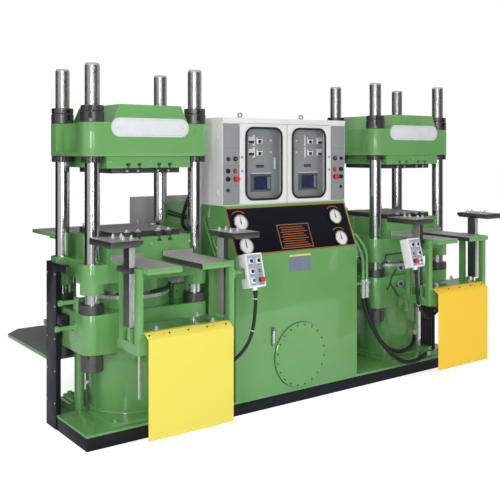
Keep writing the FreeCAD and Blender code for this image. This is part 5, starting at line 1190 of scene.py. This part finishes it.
def finish_pendants():
    back = {word: turn.inverted() for word, turn in PENDANTS.items()}

    def pendant_face(face):
        """White case, grey control plate on it, and black for what stands out of the plate."""
        middle = face.calc_center_median()
        depth = (back["left" if middle.x < 0 else "right"] @ middle).z
        return 0 if depth < 0.0001 else 1 if depth < 0.0021 else 2

    dress_node("pendant_boxes", 0.0014, "side_white", also=("pendant_grey", "knob_black"), pick=pendant_face)
    top, middle, low = PENDANT_ROWS
    for side, word in SIDES:
        tray = Tray(word + "_pendant_trim")
        turn = PENDANTS[word]

        def spot(column, up, lift=0.002):
            return turn @ at(column * side * 0.028, up, lift)

        tray.add("side_white", hoop(0.1105, 0.1905, 0.0006, 0.003, 0.0028, 3), turn, at(0, 0.1025, 0.002))
        selectors = (("outer", -1, top), ("inner", 1, top), ("lower", 1, middle))
        for _, column, up in selectors:
            tray.add("side_white", tube_ring(0.0162, 0.0123, 0, 0.0095, 0.0012), spot(column, up))
            tray.add("plate_white", plate(0.034, 0.034, 0.0008, 0.004), spot(column, up + 0.0005))
        for up in PENDANT_ROWS:
            for column in BOTH:
                tray.add("instrument_grey", plate(0.03, 0.0065, 0.0006, 0.001), spot(column, up - 0.0235))
        lamp(tray, spot(-1, middle), "clear_lens", 0.0098, 0.0082)
        tray.add("side_white", tube_ring(0.0168, 0.0113, 0.0, 0.0085, 0.0012), spot(1, low))
        tray.add("plate_white", plate(0.036, 0.036, 0.0008, 0.004), spot(1, low))
        for across in (-0.0515, 0.0515):
            for up in (0.012, 0.193):
                tray.add("fitting_zinc", socket_screw(0.003, 0.0018), turn, at(across, up, 0.002))
        down = turn @ front(0, -0.018, -0.037)
        tray.add("cable_rubber", strain_relief(), down)
        tray.add("side_white", hexagon(0.0175, 0.006), down, at(0, 0, -0.009))
        tray.keep()
        for name, column, up in selectors:
            selector(f"{word}_pendant_{name}_selector", spot(column, up, 0.0023), 0.85, "knob_black")
        mushroom(word + "_pendant_stop", spot(-1, low, 0.007), 0.85)
        name = word + "_pendant_start_button"
        cap = placed(turned(START_CAP, 36), spot(1, low, 0.007))
        keep(cap, name + "_cap", "start_green", (name,), body=name)


def on_cord(name, number, share):
    """Place on a cord's line beside one of its points, with Z along it."""
    points = [Vector(point) for point in ROUTES[name][2]]
    before = points[0] if number == 1 else (points[number - 1] + points[number]) / 2
    after = points[-1] if number == len(points) - 2 else (points[number] + points[number + 1]) / 2
    near = before.lerp(points[number], share)
    far = points[number].lerp(after, share)
    way = (far - near).normalized()
    return Matrix.Translation(near.lerp(far, share)) @ way.to_track_quat("Z", "Y").to_matrix().to_4x4()


CABLE_TIE = [(0.0108, -0.0025), (0.0127, -0.0025), (0.0127, 0.0025), (0.0108, 0.0025)]
FERRULE = [(0.0148, 0), (0.0172, 0), (0.0172, 0.009), (0.0165, 0.010), (0.0165, 0.018), (0.0172, 0.0185),
           (0.0172, 0.0215), (0.0165, 0.022), (0.0165, 0.030), (0.0172, 0.0305), (0.0172, 0.0335),
           (0.016, 0.036), (0.0148, 0.036)]


def finish_cord_trim():
    """Ties on the cables and pressed ferrules at both ends of the hoses."""
    tray = Tray("cord_trim")
    for name, number, share in (("left_pendant_cable", 1, 0.45), ("left_pendant_cable", 2, 0.75),
                                ("right_pendant_cable", 2, 0.9)):
        spot = on_cord(name, number, share)
        tray.add("plate_white", turned(CABLE_TIE, 24, closed=True), spot)
        tray.add("plate_white", slab((0.0115, -0.003, -0.0035), (0.017, 0.003, 0.0035), 0.0008), spot)
    for name in ("pressure_hose", "return_hose"):
        last = len(ROUTES[name][2]) - 2
        for number, share, way in ((1, 0.0, 1), (last, 1.0, -1)):
            spot = on_cord(name, number, share) @ Matrix.Scale(way, 4, (0, 0, 1))
            tray.add("fitting_zinc", turned(FERRULE, 28, closed=True), spot)
    for bm in tray.shapes.values():
        bmesh.ops.recalc_face_normals(bm, faces=bm.faces)
    tray.keep()


finish_pendants()
finish_cord_trim()


# Rear tables, platforms, cover and pipework


def finish_rear():
    def rear_face(face):
        """Checkered steel on the low platforms, ground steel on the shelf, and green for the rest."""
        if face.normal.z < 0.9:
            return 2
        height = face.calc_center_median().z
        return 1 if height > 1.18 else 0 if abs(height - 0.41) < 0.005 else 2

    dress_node("rear_platforms", also=("ground_steel", "machine_green"), pick=rear_face)
    dress_node("rear_unit_cover", 0.001, also=("cover_grey",), pick=lambda face: 1)
    dress_node("cable_duct", 0.0012)
    tray = Tray("rear")
    screw_spots = [behind(-0.85 + number * 0.194, 0.519, z) for number in range(9) for z in (1.21, 1.375)]
    screw_spots += [left(-1.654, y, 0.16 + number * 0.2) for number in range(5) for y in (0.066, 0.191)]
    for spot in screw_spots:
        tray.add("fitting_zinc", socket_screw(0.0055, 0.0035), spot)
    door = behind(TANK_X, TANK_BACK, 0.62)
    face = door @ at(0, 0, 0.006)
    tray.add("machine_green", plate(0.72, 0.62, 0.006, 0.02, 0.0015), door)
    for number in range(24):
        share = number % 6 / 6 - 0.5
        across, up = ((share, -0.5), (0.5, share), (-share, 0.5), (-0.5, -share))[number // 6]
        tray.add("dark_steel", hexagon(0.008, 0.006), face, at(across * 0.67, up * 0.57, 0))
    grip = [(0, -0.06, 0), (0, -0.06, 0.035), (0, 0.06, 0.035), (0, 0.06, 0)]
    for across in (-0.2, 0.2):
        tray.add("dark_steel", bent_bar(grip, 0.006, 0.012), face, at(across, 0, 0))
    tray.add("fitting_zinc", hexagon(0.019, 0.014), behind(TANK_X + 0.43, TANK_BACK, 0.17))
    for side in BOTH:
        for row in range(9):
            tray.add("cabinet_grey", slab((-0.075, -0.003, 0), (0.075, 0.003, 0.005), 0.0015),
                     behind(CABINET_X + side * 0.33, 0.092, 1.52 + row * 0.014))
    tray.keep()


def finish_pipework():
    def pipe_face(face):
        """Zinc where the hoses' elbows are, green for the pipes."""
        middle = face.calc_center_median()
        near = min(math.hypot(middle.x - x, middle.y + 0.35) for x in (0.571, 0.609))
        return 1 if near < 0.0185 and 0.668 < middle.z < 0.77 else 0

    dress_node("hydraulic_pipes", 0.0015, also=("fitting_zinc",), pick=pipe_face)
    tray = Tray("pipework")
    for x in (0.571, 0.609):
        for level in (0.674, 0.735):
            tray.add("fitting_zinc", hexagon(0.0205, 0.022, 0.0015), at(x, -0.35, level))
    tray.keep()


def finish_tank_pipes():
    """Green pipes that run down the tank's left side."""
    tray = Tray("tank_side")
    wall = -0.603
    x = -0.625
    upper = [(wall, -0.022, 1.265), (x, -0.022, 1.265), (x, -0.169, 1.023), (x, -0.2, 1.0), (wall, -0.2, 1.0)]
    lower = [(wall, -0.145, 1.124), (x, -0.145, 1.124), (x, -0.182, 1.073), (wall, -0.182, 1.05)]
    for points in (upper, lower):
        tray.add("machine_green", bent_bar(points, 0.008, 0.02))
    tray.add("machine_green", disc(0.014, 0, 0.012), left(LEFT_WALL, -0.022, 1.265))
    tray.keep()


finish_rear()
finish_pipework()
finish_tank_pipes()


# Sensors and small fittings on the presses


VALVE_BODY = [(0, 0), (0.024, 0), (0.024, 0.016), (0.021, 0.02), (0.008, 0.021), (0, 0.021)]


def valve_head(tray, spot):
    """Small limit valve: a round blue body with a bright rim, on a stub that reaches the frame."""
    tray.add("valve_blue", turned(VALVE_BODY, 28), spot, at(0, 0, -0.012))
    tray.add("fitting_zinc", tube_ring(0.0255, 0.0195, 0.004, 0.0095, 0.001, 28), spot)
    tray.add("needle_black", disc(0.011, 0.0085, 0.0105, 0.0008, 20), spot)
    tray.add("dark_steel", disc(0.012, -0.05, -0.012, steps=16), spot)


def ribbed_conduit():
    """Upright corrugated sleeve from the deck to the shelf frame."""
    profile = [(0, 0.1125)]
    for step in range(40):
        rise = 0.1125 + 0.01 * step
        profile += [(0.0135, rise), (0.0135, rise + 0.005), (0.0115, rise + 0.006), (0.0115, rise + 0.009)]
    return turned(profile + [(0, 0.5125)], 16)


# Rigid leads, each as its points, radius and bend
LEADS = [(((x + 0.06, -0.214, 0.836), (x + 0.06, -0.232, 0.853), (x + 0.115, -0.252, 0.862),
           (x + 0.16, -0.27, 0.886)), 0.006, 0.02) for x in (-PRESS_X, PRESS_X)]
LEADS += [(points, 0.0042, 0.02) for points in (
    ((0.783, -0.33, 0.854), (0.823, -0.33, 0.888), (0.827, -0.33, 0.929), (1.0, -0.33, 0.932)),
    ((0.945, -0.33, 0.814), (0.89, -0.33, 0.749), (0.877, -0.33, 0.706), (0.841, -0.33, 0.659)),
    ((0.877, -0.335, 0.706), (0.963, -0.335, 0.598), (1.112, -0.33, 0.572)))]
LEADS += [(((-0.609, 0.491, rear), (-0.6195, 0.461, rear), (-0.6195, 0.248, fore), (-0.609, 0.218, fore)),
           0.008, 0.02) for rear, fore in ((1.283, 1.263), (1.259, 1.243))]
LEADS.append((((-0.622, 0.06, 1.448), (-0.655, 0.097, 1.434), (-0.655, 0.14, 1.37), (-0.655, 0.192, 1.286),
               (-0.65, 0.219, 1.203), (-0.609, 0.222, 1.16)), 0.0125, 0.03))


def finish_sensors():
    """Leads, gland rims, the left press's limit block and rod, and the right press's conduits and valves."""
    tray = Tray("sensors")
    for points, radius, bend in LEADS:
        tray.add("cable_rubber", bent_bar(points, radius, bend))
    for x in (-PRESS_X, PRESS_X):
        tray.add("ram_steel", tube_ring(0.2595, 0.2565, 0.811, 0.8322, 0.001, 64), at(x, 0, 0))
    tray.add("machine_green", slab((-0.915, -0.125, 0.753), (-0.82, -0.085, 0.853), 0.003))
    tray.add("fitting_zinc", disc(0.007, 0, 0.034, steps=14), at(-0.872, -0.105, 0.853))
    for across in (-0.895, -0.84):
        tray.add("dark_steel", socket_screw(0.005, 0.004), front(across, -0.125, 0.805))
    rod = at(-1.498, -0.06, 0)
    tray.add("dark_steel", disc(0.009, 0.113, 0.518, steps=20), rod)
    tray.add("fitting_zinc", hexagon(0.013, 0.018), rod, at(0, 0, 0.29))
    for number in range(5):
        tray.add("cable_rubber", ribbed_conduit(), at(1.3 + 0.034 * number, -0.272, 0))
    for level in (0.818, 0.694):
        valve_head(tray, front(0.993, -0.33, level) @ about("Y", -35))
    tray.keep()


finish_sensors()
